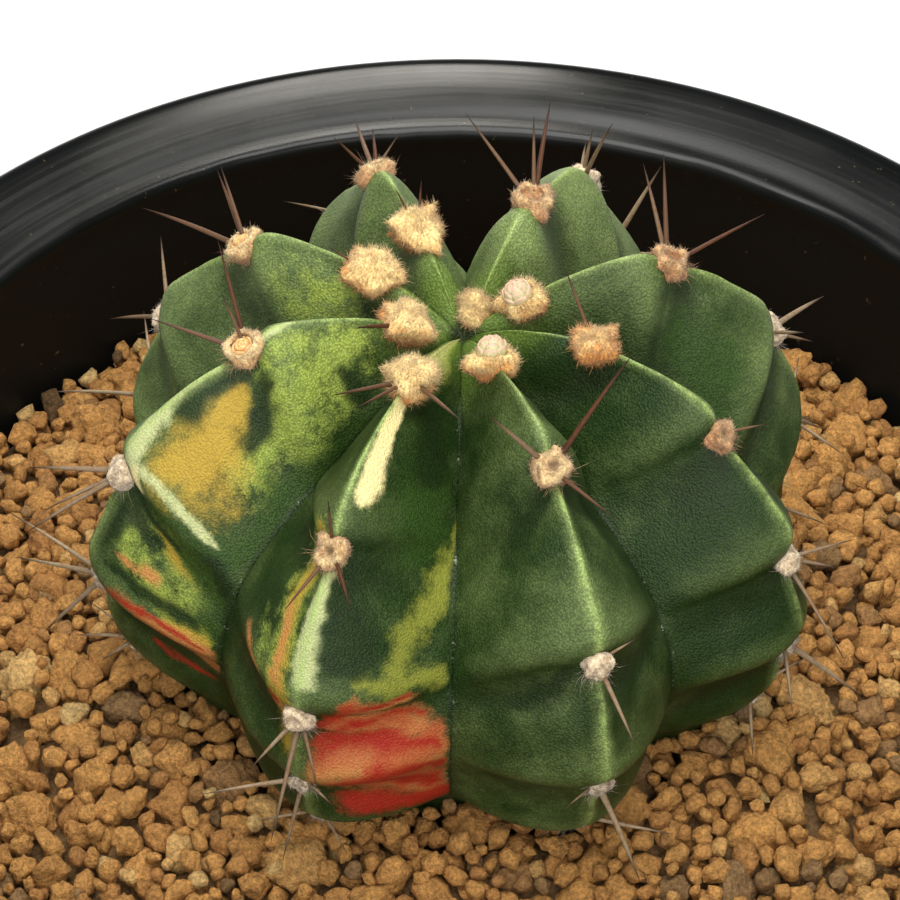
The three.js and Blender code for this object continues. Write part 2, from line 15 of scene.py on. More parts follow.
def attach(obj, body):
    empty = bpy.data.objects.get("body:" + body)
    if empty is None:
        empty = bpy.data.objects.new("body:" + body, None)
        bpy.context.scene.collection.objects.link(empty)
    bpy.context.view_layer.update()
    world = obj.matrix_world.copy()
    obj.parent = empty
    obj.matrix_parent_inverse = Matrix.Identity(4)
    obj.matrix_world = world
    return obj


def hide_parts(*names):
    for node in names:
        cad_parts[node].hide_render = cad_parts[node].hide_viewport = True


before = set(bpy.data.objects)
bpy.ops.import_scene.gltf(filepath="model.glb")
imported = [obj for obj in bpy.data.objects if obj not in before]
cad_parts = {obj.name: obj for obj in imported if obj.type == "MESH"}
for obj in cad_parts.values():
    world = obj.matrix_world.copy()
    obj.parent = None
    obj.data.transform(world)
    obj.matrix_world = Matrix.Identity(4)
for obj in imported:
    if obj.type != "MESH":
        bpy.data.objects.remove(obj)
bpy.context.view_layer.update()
MM = 0.001
noise.seed_set(7)

# %% [markdown]
# ## The camera
# A close photograph from 30 cm with a long lens keeps the ribs in nearly parallel view. The camera
# looks down 44 degrees at the middle of the plant's top. That point lies a little right of and above
# the middle of the picture, so the camera is turned by the two small angles that put it there, and
# then rolled by the degree or so that the picture leans. Turning the camera instead of shifting the
# lens keeps the perspective of the real picture.

# %% Camera
PICTURE_SIZE = 900
TARGET_PIXEL = (460.6, 311.4)
FOCAL_PIXELS = 5210
SENSOR_WIDTH = 36
TARGET = Vector((-0.76, 0, 97.87)) * MM
CAMERA_DISTANCE = 300 * MM
ELEVATION = math.radians(44)
ROLL = math.radians(1.26)


def turned(first, second, angle):
    """Two directions turned in their own plane, the first towards the second."""
    return (first * math.cos(angle) + second * math.sin(angle),
            second * math.cos(angle) - first * math.sin(angle))


right = Vector((1, 0, 0))
above = Vector((0, math.sin(ELEVATION), math.cos(ELEVATION)))
ahead = Vector((0, math.cos(ELEVATION), -math.sin(ELEVATION)))
eye = TARGET - ahead * CAMERA_DISTANCE
yaw = math.atan((TARGET_PIXEL[0] - PICTURE_SIZE / 2) / FOCAL_PIXELS)
pitch = math.atan((TARGET_PIXEL[1] - PICTURE_SIZE / 2) / FOCAL_PIXELS)
right, ahead = turned(right, ahead, yaw)
ahead, above = turned(ahead, above, pitch)
right, above = turned(right, above, ROLL)

lens = bpy.data.cameras.new("camera")
lens.sensor_width = SENSOR_WIDTH
lens.lens = FOCAL_PIXELS / PICTURE_SIZE * SENSOR_WIDTH
camera = bpy.data.objects.new("camera", lens)
camera.matrix_world = Matrix.Translation(eye) @ Matrix((right, above, -ahead)).transposed().to_4x4()
bpy.context.collection.objects.link(camera)
bpy.context.scene.camera = camera
print("lens, mm:", round(lens.lens, 1))

# %% [markdown]
# ## Helpers for materials and meshes
# Colours are written as the hex values that a paint program shows, and one function turns them into
# the linear values that the renderer adds and multiplies. One more function adds a node: its
# settings by name, its inputs as numbers or as the outputs of other nodes.

# %% Colours and nodes


def linear(hex_colour):
    """The linear colour of an sRGB hex value, with full alpha."""
    channels = [int(hex_colour[i:i + 2], 16) / 255 for i in (1, 3, 5)]
    return [c / 12.92 if c <= 0.04045 else ((c + 0.055) / 1.055) ** 2.4 for c in channels] + [1]


def new_material(name):
    """A material with an empty node tree."""
    material = bpy.data.materials.new(name)
    material.use_nodes = True
    material.node_tree.nodes.clear()
    return material


def add(material, kind, inputs=None, **settings):
    """Adds a node to a material, sets it, and fills its inputs with values or links."""
    tree = material.node_tree
    node = tree.nodes.new("ShaderNode" + kind)
    for name, value in settings.items():
        setattr(node, name, value)
    for name, value in (inputs or {}).items():
        if isinstance(value, bpy.types.NodeSocket):
            tree.links.new(value, node.inputs[name])
        else:
            node.inputs[name].default_value = value
    return node


def mixed(material, factor, first, second, blend="MIX"):
    """The colour that lies between two others, by a factor from 0 to 1."""
    node = add(material, "Mix", {0: factor, 6: first, 7: second}, data_type="RGBA", blend_type=blend)
    return node.outputs[2]


def calculated(material, operation, *values):
    """The result of one sum on numbers."""
    return add(material, "Math", dict(enumerate(values)), operation=operation).outputs[0]


def ranged(material, value, low, high, to_low=0.0, to_high=1.0):
    """A value moved smoothly from one range to another, and held at its ends."""
    node = add(material, "MapRange", {0: value, 1: low, 2: high, 3: to_low, 4: to_high},
               interpolation_type="SMOOTHSTEP")
    return node.outputs[0]


def noise_at(material, place, size_mm, detail=3.0, roughness=0.55):
    """Noise whose largest lumps are as wide as a size in millimetres."""
    node = add(material, "TexNoise", {"Vector": place, "Scale": 1 / (size_mm * MM),
                                      "Detail": detail, "Roughness": roughness})
    return node.outputs["Fac"]


def attribute(material, name):
    """A number that the mesh carries at each of its points."""
    return add(material, "Attribute", attribute_name=name).outputs["Fac"]


def finished(material, shader):
    """Joins a shader to the material's output."""
    output = add(material, "OutputMaterial", {"Surface": shader.outputs[0]})
    print("material:", material.name, len(material.node_tree.nodes), "nodes")
    return output


# %% Meshes


def mesh_object(name, points, faces, material, attributes=None, smooth=True):
    """An object from points in millimetres, faces, and numbers that its points carry."""
    mesh = bpy.data.meshes.new(name)
    mesh.from_pydata((np.asarray(points) * MM).tolist(), [], np.asarray(faces).tolist()
                     if isinstance(faces, np.ndarray) else faces)
    for key, values in (attributes or {}).items():
        layer = mesh.attributes.new(key, "FLOAT", "POINT")
        layer.data.foreach_set("value", np.asarray(values, np.float32).ravel())
    mesh.polygons.foreach_set("use_smooth", [smooth] * len(mesh.polygons))
    mesh.materials.append(material)
    mesh.validate()
    made = bpy.data.objects.new(name, mesh)
    bpy.context.collection.objects.link(made)
    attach(made, "root")
    triangles = sum(len(face.vertices) - 2 for face in mesh.polygons)
    print("piece:", name, triangles, "triangles")
    return made


def grid_faces(rows, columns, start=0, closed=True):
    """The four-sided faces between rows of points, each row round or open."""
    row, column = np.meshgrid(np.arange(rows - 1), np.arange(columns if closed else columns - 1),
                              indexing="ij")
    a = start + row * columns + column
    b = start + row * columns + (column + 1) % columns
    return np.stack([a, a + columns, b + columns, b], -1).reshape(-1, 4).tolist()


def round_faces(rows, columns, start=0):
    """The faces of closed rings, with a pole point before the first ring and after the last."""
    first, last = start, start + 1 + rows * columns
    faces = grid_faces(rows, columns, start + 1)
    for i in range(columns):
        j = (i + 1) % columns
        faces.append([first, first + 1 + i, first + 1 + j])
        faces.append([last, last - columns + j, last - columns + i])
    return faces


def turned_solid(outline, segments):
    """The points of an outline of (radius, height) turned round the pot's axis, poles first and last."""
    angles = np.arange(segments) * 2 * math.pi / segments
    rings = [[(r * math.cos(a), r * math.sin(a), z) for a in angles] for r, z in outline[1:-1]]
    return [(0, 0, outline[0][1])] + [point for ring in rings for point in ring] + [(0, 0, outline[-1][1])]


# %% [markdown]
# ## Pot
# The pot is black polypropylene, injection moulded in one shot: a thin tapered wall, a foot ring and
# a wide lip that is turned down for stiffness. A turned outline gives all of it, and the roundings are
# arcs. What tells the eye that it is a thrown-away nursery pot are the small faults of its mould: the
# inner edge of the lip has a thin uneven flash, so that edge is moved in and out a little.

# %% Pot sizes
POT_HEIGHT = 78
RIM_RADIUS = 45
LIP_WIDTH = 7.1
LIP_FALL = 0.9
LIP_DEPTH = 10.5
LIP_THICKNESS = 2.4
LIP_ROUNDING = 1.3
LIP_INNER_ROUNDING = 0.8
WALL = 1.4
WALL_TOP_RADIUS = 39.6
WALL_FOOT_RADIUS = 31.2
FOOT_DEPTH = 2.2
FOOT_WIDTH = 3.2
DRAIN_RADIUS = 3
DRAIN_RING_RADIUS = 16
DRAIN_COUNT = 6
FILLET = 1
EDGE_BREAK = 0.6
FLASH = 0.14
POT_SEGMENTS = 180


def wall_radius(height):
    """The outer radius of the tapered wall at a height over the ground."""
    return WALL_FOOT_RADIUS + (WALL_TOP_RADIUS - WALL_FOOT_RADIUS) * height / POT_HEIGHT


def bell(x, centre, width):
    """A smooth hump."""
    return np.exp(-((x - centre) / width) ** 2)


def arc(radius, height, size, start, turn, steps=8):
    """Points of a quarter round in the outline, from a start angle in degrees through a turn."""
    angles = [math.radians(start + turn * i / steps) for i in range(steps + 1)]
    return [(radius + size * math.cos(a), height + size * math.sin(a)) for a in angles]


# %% Pot outline
lip_inside = RIM_RADIUS - LIP_WIDTH
lip_crown = POT_HEIGHT + LIP_FALL / 2
lip_edge = POT_HEIGHT - LIP_FALL / 2
lip_underside = POT_HEIGHT - LIP_THICKNESS
skirt_bottom = POT_HEIGHT - LIP_DEPTH
skirt_inside = RIM_RADIUS - WALL
floor_top = FOOT_DEPTH + WALL
foot_inside = WALL_FOOT_RADIUS - FOOT_WIDTH
outer_centre = (RIM_RADIUS - LIP_ROUNDING, lip_crown - LIP_ROUNDING)
inner_centre = (lip_inside + LIP_INNER_ROUNDING, lip_edge - LIP_INNER_ROUNDING)
lip_top = [(outer_centre[0] + (inner_centre[0] - outer_centre[0]) * share,
            lip_crown + (lip_edge - lip_crown) * share ** 1.3 - 0.06 * bell(share, 0.86, 0.09))
           for share in np.linspace(0.06, 0.96, 16)]
pot_outline = [
    (0, floor_top - WALL),
    *[(foot_inside * share, FOOT_DEPTH) for share in np.linspace(0.06, 0.98, 16)],
    *arc(foot_inside - EDGE_BREAK, FOOT_DEPTH - EDGE_BREAK, EDGE_BREAK, 90, -90, 3),
    (foot_inside, 0),
    *arc(WALL_FOOT_RADIUS - EDGE_BREAK, EDGE_BREAK, EDGE_BREAK, -90, 90, 4),
    *[(wall_radius(h), h) for h in np.linspace(2, lip_underside - FILLET, 20)],
    *arc(wall_radius(lip_underside) + FILLET, lip_underside - FILLET, FILLET, 180, -90, 4),
    *arc(skirt_inside - FILLET, lip_underside - FILLET, FILLET, 90, -90, 4),
    (skirt_inside, skirt_bottom + EDGE_BREAK / 2),
    (skirt_inside + EDGE_BREAK / 2, skirt_bottom),
    *arc(RIM_RADIUS - EDGE_BREAK, skirt_bottom + EDGE_BREAK, EDGE_BREAK, -90, 90, 4),
    *arc(*outer_centre, LIP_ROUNDING, 0, 90, 10),
    *lip_top,
    *arc(*inner_centre, LIP_INNER_ROUNDING, 90, 90, 8),
    (lip_inside + 0.15, lip_edge - 1.6),
    *[(wall_radius(h) - WALL, h) for h in np.linspace(POT_HEIGHT - 3, floor_top + FILLET, 18)],
    (wall_radius(floor_top) - WALL - FILLET, floor_top),
    *[((wall_radius(floor_top) - WALL - FILLET) * share, floor_top) for share in np.linspace(0.96, 0.06, 16)],
    (0, floor_top),
]
print("pot outline:", len(pot_outline), "points")

# %% [markdown]
# The plastic itself is a satin black. A real moulding scatters light unevenly: the flow of the melt
# leaves faint rings round the lip, handling leaves fine scratches, and clay dust settles on it. So
# its grey, its roughness and its bump all vary, and the rings follow the lip: the noise is stretched
# along the way round by reading it at the direction from the axis and at the radius.

# %% Black polypropylene
MOULDED_BLACK = "#060807"
SCUFFED_GREY = "#171917"
CLAY_DUST = "#8a7152"


def black_polypropylene():
    """Moulded polypropylene: a satin black with flow rings, scratches and a film of clay dust."""
    plastic = new_material("black_polypropylene")
    place = add(plastic, "TexCoord").outputs["Object"]
    flat = add(plastic, "VectorMath", {0: place, 1: (1, 1, 0)}, operation="MULTIPLY").outputs[0]
    direction = add(plastic, "VectorMath", {0: flat}, operation="NORMALIZE").outputs[0]
    radius = add(plastic, "VectorMath", {0: flat}, operation="LENGTH").outputs["Value"]
    height = add(plastic, "SeparateXYZ", {0: place}).outputs["Z"]
    across = calculated(plastic, "ADD", calculated(plastic, "MULTIPLY", radius, 1400),
                        calculated(plastic, "MULTIPLY", height, 900))
    upward = add(plastic, "CombineXYZ", {"Z": across}).outputs[0]
    ring_place = add(plastic, "VectorMath", {0: direction, 1: upward}, operation="ADD").outputs[0]
    rings = add(plastic, "TexNoise", {"Vector": ring_place, "Scale": 1.4, "Detail": 3}).outputs["Fac"]
    clouds = noise_at(plastic, place, 9, 4)
    grain = noise_at(plastic, place, 0.22, 2)
    specks = ranged(plastic, noise_at(plastic, place, 0.6, 4, 0.7), 0.66, 0.74)
    on_lip = ranged(plastic, height, (POT_HEIGHT - 1.5) * MM, (POT_HEIGHT - 0.3) * MM)
    scuffs = calculated(plastic, "MULTIPLY", ranged(plastic, rings, 0.42, 0.75),
                        calculated(plastic, "MULTIPLY", ranged(plastic, clouds, 0.3, 0.7), on_lip))
    colour = mixed(plastic, scuffs, linear(MOULDED_BLACK), linear(SCUFFED_GREY))
    colour = mixed(plastic, calculated(plastic, "MULTIPLY", specks, 0.35), colour, linear(CLAY_DUST))
    relief = calculated(plastic, "ADD", calculated(plastic, "MULTIPLY", rings, on_lip),
                        calculated(plastic, "MULTIPLY", grain, 0.35))
    bump = add(plastic, "Bump", {"Height": relief, "Strength": 0.22, "Distance": 0.03 * MM})
    mixed_roughness = calculated(plastic, "ADD", ranged(plastic, clouds, 0.25, 0.75, 0.16, 0.24),
                                 ranged(plastic, on_lip, 0, 1, 0.35, 0))
    ring_roughness = calculated(plastic, "MULTIPLY", on_lip, ranged(plastic, rings, 0.35, 0.65, 0, 0.08))
    mixed_roughness = calculated(plastic, "ADD", mixed_roughness, ring_roughness)
    surface = add(plastic, "BsdfPrincipled", {
        "Base Color": colour, "Roughness": mixed_roughness,
        "IOR": 1.49, "Specular IOR Level": 0.22, "Normal": bump.outputs[0]})
    finished(plastic, surface)
    return plastic


# %% Make the pot
pot_points = np.array(turned_solid(pot_outline, POT_SEGMENTS))
near_edge = (np.hypot(pot_points[:, 0], pot_points[:, 1]) < lip_inside + 0.6) \
    & (pot_points[:, 2] > POT_HEIGHT - 2.4) & (pot_points[:, 2] < POT_HEIGHT - 0.4)
for i in np.flatnonzero(near_edge):
    angle = math.atan2(pot_points[i, 1], pot_points[i, 0])
    wave = noise.noise(Vector((9 * math.cos(angle), 9 * math.sin(angle), 0))) \
        + 0.6 * noise.noise(Vector((34 * math.cos(angle), 34 * math.sin(angle), 3)))
    pot_points[i, :2] *= 1 - FLASH * wave / lip_inside
pot = mesh_object("nursery_pot", pot_points, round_faces(len(pot_outline) - 2, POT_SEGMENTS),
                  black_polypropylene())
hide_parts("pot")

# %% [markdown]
# The drain holes go through the floor, so they are cut with a boolean: six round cutters in a ring
# and one in the middle, joined in one object, subtracted once, and then removed.

# %% Drain holes
HOLE_SIDES = 32
holes = [(0.0, 0.0)] + [(DRAIN_RING_RADIUS * math.cos(2 * math.pi * i / DRAIN_COUNT),
                         DRAIN_RING_RADIUS * math.sin(2 * math.pi * i / DRAIN_COUNT))
                        for i in range(DRAIN_COUNT)]
drill_points, drill_faces = [], []
for x, y in holes:
    drill = np.array(turned_solid([(0, floor_top + 1), (DRAIN_RADIUS, floor_top + 1),
                                   (DRAIN_RADIUS, FOOT_DEPTH - 1), (0, FOOT_DEPTH - 1)], HOLE_SIDES))
    drill_faces += round_faces(2, HOLE_SIDES, len(drill_points))
    drill_points += (drill + (x, y, 0)).tolist()
drill_mesh = bpy.data.meshes.new("drill")
drill_mesh.from_pydata((np.array(drill_points) * MM).tolist(), [], drill_faces)
drill = bpy.data.objects.new("drill", drill_mesh)
bpy.context.collection.objects.link(drill)
cut = pot.modifiers.new("drain holes", "BOOLEAN")
cut.object = drill
cut.solver = "EXACT"
bpy.context.view_layer.objects.active = pot
bpy.ops.object.modifier_apply(modifier=cut.name)
bpy.data.objects.remove(drill)
print("drain holes:", len(holes), "pot faces:", len(pot.data.polygons))

# %% [markdown]
# ## The plant's body
# Eight ribs run from the sunken apex to the soil. Two smooth outlines hold the whole form: one along
# a rib's crest and one along the groove between ribs. Across a rib, a rounded wedge joins them. Each
# rib has its own areoles, the woolly points that carry the spines, at its own places down the crest,
# so its rows of points run from areole to areole. Between two areoles the rib swells to a chin, dips
# in a notch above the next one, and folds into a hollow under the last one. The relief below adds
# these as smooth humps, so it could be changed by a few numbers. Sculpting would give the same
# bumps, but nobody could read them.

# %% Rib outlines and areoles
PLANT_X = -0.8
CREST_PROFILE = [(0, 17.7), (2.5, 19.2), (5.5, 20.3), (9.0, 20.7), (13.0, 19.7), (16.6, 16.9),
                 (19.6, 12.8), (21.3, 8.0), (21.6, 3.0), (20.4, -1.5), (17.9, -5.8), (14.3, -10.0),
                 (9.8, -13.6), (5.4, -17.2), (3.4, -23.0), (2.2, -31.0), (0, -39.0)]
GROOVE_PROFILE = [(0, 17.7), (2.0, 18.2), (4.0, 17.2), (6.2, 15.6), (9.3, 13.6), (12.5, 11.6),
                  (15.5, 9.2), (17.5, 6.0), (18.1, 2.5), (17.2, -1.6), (15.2, -5.4), (12.6, -9.8),
                  (9.4, -13.6), (5.4, -17.2), (3.4, -23.0), (2.2, -31.0), (0, -39.0)]
CREST_FULLNESS = 1.2
GROOVE_SHARPNESS = 2.2
BURIED_STATIONS = [46, 51, 56, 63, 72]
RIB_NAMES = "GHABCDEF"
AZIMUTHS = dict(zip(RIB_NAMES, (20, 64, 114, 155, 196, 246, 293, 335)))
GIRTHS = dict(zip(RIB_NAMES, (0.975, 0.95, 0.89, 0.955, 1.0, 1.0, 1.0, 0.995)))
AREOLE_STATIONS = {
    "G": [4.1, 13.5, 23.9, 31.9, 39], "H": [1.9, 9.8, 18.2, 29, 36.5],
    "A": [7.2, 14.6, 24, 32.5, 39.5], "B": [6.5, 15.5, 25.5, 33, 39.8],
    "C": [4, 13.6, 24.6, 33.3, 39.5], "D": [7.6, 19.3, 30, 35.8, 41.5],
    "E": [5.2, 14.1, 25.6, 35.3, 42], "F": [9, 18, 27.5, 34.5, 40.2],
}

# %% Curves through the outlines


def smooth_curve(points, t):
    """Places on the smooth curve through evenly timed points, t running from 0 to 1."""
    points = np.asarray(points, float)
    last = len(points) - 1
    place = np.clip(t, 0, 1) * last
    i = np.minimum(place.astype(int), last - 1)
    w = (place - i)[..., None]
    before, start = points[np.maximum(i - 1, 0)], points[i]
    end, after = points[i + 1], points[np.minimum(i + 2, last)]
    leave, arrive = (end - before) / 2, (after - start) / 2
    cubic = 2 * start - 2 * end + leave + arrive
    square = 3 * end - 3 * start - 2 * leave - arrive
    return cubic * w ** 3 + square * w ** 2 + leave * w + start


CURVE_STEPS = np.linspace(0, 1, 801)
crest_points = smooth_curve(CREST_PROFILE, CURVE_STEPS)
crest_lengths = np.r_[0, np.cumsum(np.hypot(*np.diff(crest_points, axis=0).T))]
print("crest length, mm:", round(float(crest_lengths[-1]), 1))


def crest_time(station):
    """The curve's t at a station, the millimetres along the crest from the apex."""
    return np.interp(station, crest_lengths, CURVE_STEPS)


def rib_outline(profile, t, girth):
    """Places on an outline at several t, with its girth taken in or let out below the shoulder."""
    outline = smooth_curve(profile, t)
    share = np.clip((t - crest_time(9)) / (crest_time(22) - crest_time(9)), 0, 1)
    outline[:, 0] *= 1 - (1 - girth) * share * share * (3 - 2 * share)
    return outline


def crest_frame(rib, station):
    """A crest point and its directions out of the skin, uphill and sideways, in millimetres."""
    t = crest_time(station)
    near, point, far = rib_outline(CREST_PROFILE, np.array([t - 0.002, t, t + 0.002]), GIRTHS[rib])
    tangent = (far - near) / np.hypot(*(far - near))
    angle = math.radians(AZIMUTHS[rib])
    radial = np.array([math.cos(angle), math.sin(angle), 0])
    up = np.array([0, 0, 1.0])
    place = np.array([PLANT_X, 0, POT_HEIGHT]) + point[0] * radial + point[1] * up
    sideways = np.array([-math.sin(angle), math.cos(angle), 0])
    return place, -tangent[1] * radial + tangent[0] * up, -tangent[0] * radial - tangent[1] * up, sideways


# %% [markdown]
# The skin's grid is fine enough to hold every fold: a row each 0.2 mm down the rib, and a column each
# few degrees across it. The angle across a rib is 0 on the crest and 90 degrees in the groove.

# %% Relief of a rib
CHIN_HEIGHT = 0.6
SEAT_DEPTH = 0.25
KEEL_HEIGHT = 0.26
KEEL_ANGLE = math.radians(8)
FLANK_RIDGE_HEIGHT = 0.38
HOLLOW_DEPTH = 0.55
HOLLOW_ANGLE = math.radians(30)
relief_random = np.random.default_rng(12)


def rib_relief(stations, areoles, flank):
    """How far the skin stands out, by station down a rib and by angle across it."""
    across = np.cos(flank)[None, :]
    aside = (np.abs(flank) / HOLLOW_ANGLE)[None, :]
    beside = aside * np.exp(1 - aside) * across ** 0.4
    total = np.zeros((len(stations), len(flank)))
    for above_it, below_it in zip(areoles[:-1], areoles[1:]):
        share = np.clip((stations - above_it) / (below_it - above_it), 0, 1)[:, None]
        scale = min((below_it - above_it) / 9, 1) * relief_random.uniform(0.8, 1.2)
        total += scale * CHIN_HEIGHT * np.sin(math.pi * share ** 3) * across ** 1.5
    keel = KEEL_HEIGHT * bell(flank, 0, KEEL_ANGLE)[None, :] * np.clip(stations / 6, 0, 1)[:, None]
    for areole in areoles:
        young = min(areole / 9, 1)
        away = stations[:, None] - areole
        keel = keel * (1 - 0.8 * bell(away, 0, 1.6))
        total -= SEAT_DEPTH * bell(away, 0, 1.1) * across ** 4
        side = np.where(flank < 0, *relief_random.uniform(0.6, 1.25, 2))[None, :]
        total += young * side * FLANK_RIDGE_HEIGHT * bell(away, -1.2, 1.5) * beside
        total -= young * side * HOLLOW_DEPTH * bell(away, 1.7, 1.6) * beside
    return total + keel


# %% Points of the skin
APEX_ROWS = 16
SPAN_ROWS = 44
BURIED_ROWS = [12, 3, 3, 3, 3]
HALF_COLUMNS = 20

row_place = np.concatenate([
    np.linspace(0, 1, APEX_ROWS + 1)[1:],
    *[np.linspace(i, i + 1, SPAN_ROWS + 1)[1:] for i in range(1, 5)],
    *[np.linspace(5 + i, 6 + i, count + 1)[1:] for i, count in enumerate(BURIED_ROWS)],
])[:-1]
flank_angles = np.radians(np.linspace(-90, 90, 2 * HALF_COLUMNS + 1))[:-1]


def row_stations(rib):
    """The station of every row of a rib."""
    marks = [0] + AREOLE_STATIONS[rib] + BURIED_STATIONS
    return np.interp(row_place, np.arange(len(marks)), marks)


def rib_skin(rib):
    """A rib's points, row by row, from the groove on one side to just short of the other."""
    at = RIB_NAMES.index(rib)
    stations = row_stations(rib)
    t = crest_time(stations)
    azimuth = math.radians(AZIMUTHS[rib])
    radial = np.array([math.cos(azimuth), math.sin(azimuth), 0])
    sideways = np.array([-math.sin(azimuth), math.cos(azimuth), 0])
    up = np.array([0, 0, 1.0])
    outline = rib_outline(CREST_PROFILE, t, GIRTHS[rib])
    ahead_of = rib_outline(CREST_PROFILE, t + 0.001, GIRTHS[rib]) - rib_outline(CREST_PROFILE, t - 0.001, GIRTHS[rib])
    tangent = ahead_of / np.linalg.norm(ahead_of, axis=1)[:, None]
    crest = outline[:, :1] * radial + outline[:, 1:] * up
    points = np.zeros((len(stations), len(flank_angles), 3))
    for side in (-1, 1):
        neighbour = RIB_NAMES[(at + side) % len(RIB_NAMES)]
        turn = math.radians((AZIMUTHS[neighbour] - AZIMUTHS[rib] + 180) % 360 - 180)
        shared = (t + crest_time(row_stations(neighbour))) / 2
        valley = rib_outline(GROOVE_PROFILE, shared, (GIRTHS[rib] + GIRTHS[neighbour]) / 2)
        towards = np.array([math.cos(azimuth + turn / 2), math.sin(azimuth + turn / 2), 0])
        to_groove = valley[:, :1] * towards + valley[:, 1:] * up - crest
        width = (to_groove @ sideways)[:, None] * sideways
        depth = to_groove - width
        chosen = np.flatnonzero(flank_angles < 0 if side < 0 else flank_angles >= 0)
        angle = np.abs(flank_angles[chosen])
        across = np.sin(angle) ** CREST_FULLNESS
        down = 1 - np.clip(np.cos(angle), 0, 1) ** GROOVE_SHARPNESS
        points[:, chosen] = crest[:, None] + width[:, None] * across[:, None] + depth[:, None] * down[:, None]
    outward = -tangent[:, 1:] * radial + tangent[:, :1] * up
    out = outward[:, None] * np.cos(flank_angles)[:, None] \
        + sideways * np.sin(flank_angles)[:, None]
    out /= np.linalg.norm(out, axis=-1)[..., None]
    relief = rib_relief(stations, AREOLE_STATIONS[rib], flank_angles)
    points += out * relief[..., None] + np.array([PLANT_X, 0, POT_HEIGHT])
    return points, stations, relief


rib_parts = {rib: rib_skin(rib) for rib in RIB_NAMES}
skin = np.concatenate([rib_parts[rib][0] for rib in RIB_NAMES], axis=1)
print("skin grid:", skin.shape[:2])

# %% [markdown]
# Growth is never even, so the skin also gets soft lumps a few millimetres wide. They move each point
# along the way from the plant's middle, by less than the thickness of a fingernail.

# %% Uneven growth
LUMP_HEIGHT = 0.16
WRINKLE_HEIGHT = 0.05
middle = np.array([PLANT_X, 0, POT_HEIGHT + 2.0])


def lumpy(points, height, width, seed):
    """Points moved in or out by smooth noise with lumps of a width."""
    moved = points.reshape(-1, 3).copy()
    for i, point in enumerate(moved):
        rise = height * noise.noise(Vector(point / width) + Vector((seed, 0, 0)))
        way = point - middle
        moved[i] = point + way * (rise / max(np.linalg.norm(way), 1))
    return moved.reshape(points.shape)


skin = lumpy(lumpy(skin, LUMP_HEIGHT, 4.5, 3), WRINKLE_HEIGHT, 1.2, 11)
print("largest lump, mm:", LUMP_HEIGHT + WRINKLE_HEIGHT)

# %% [markdown]
# ### The patches
# This plant is variegated: where its tissue makes no chlorophyll, yellow, cream and red show. Each
# patch grew as streaks down from an areole, so it is painted here as a few strokes on one rib. A
# stroke runs between two places, each given as a station down the rib, a distance from its crest
# (minus on its clockwise side) and a half width, all in millimetres. The mesh carries one number for
# each pigment, soft at the edge of a stroke, and the material breaks that edge up with fine noise.

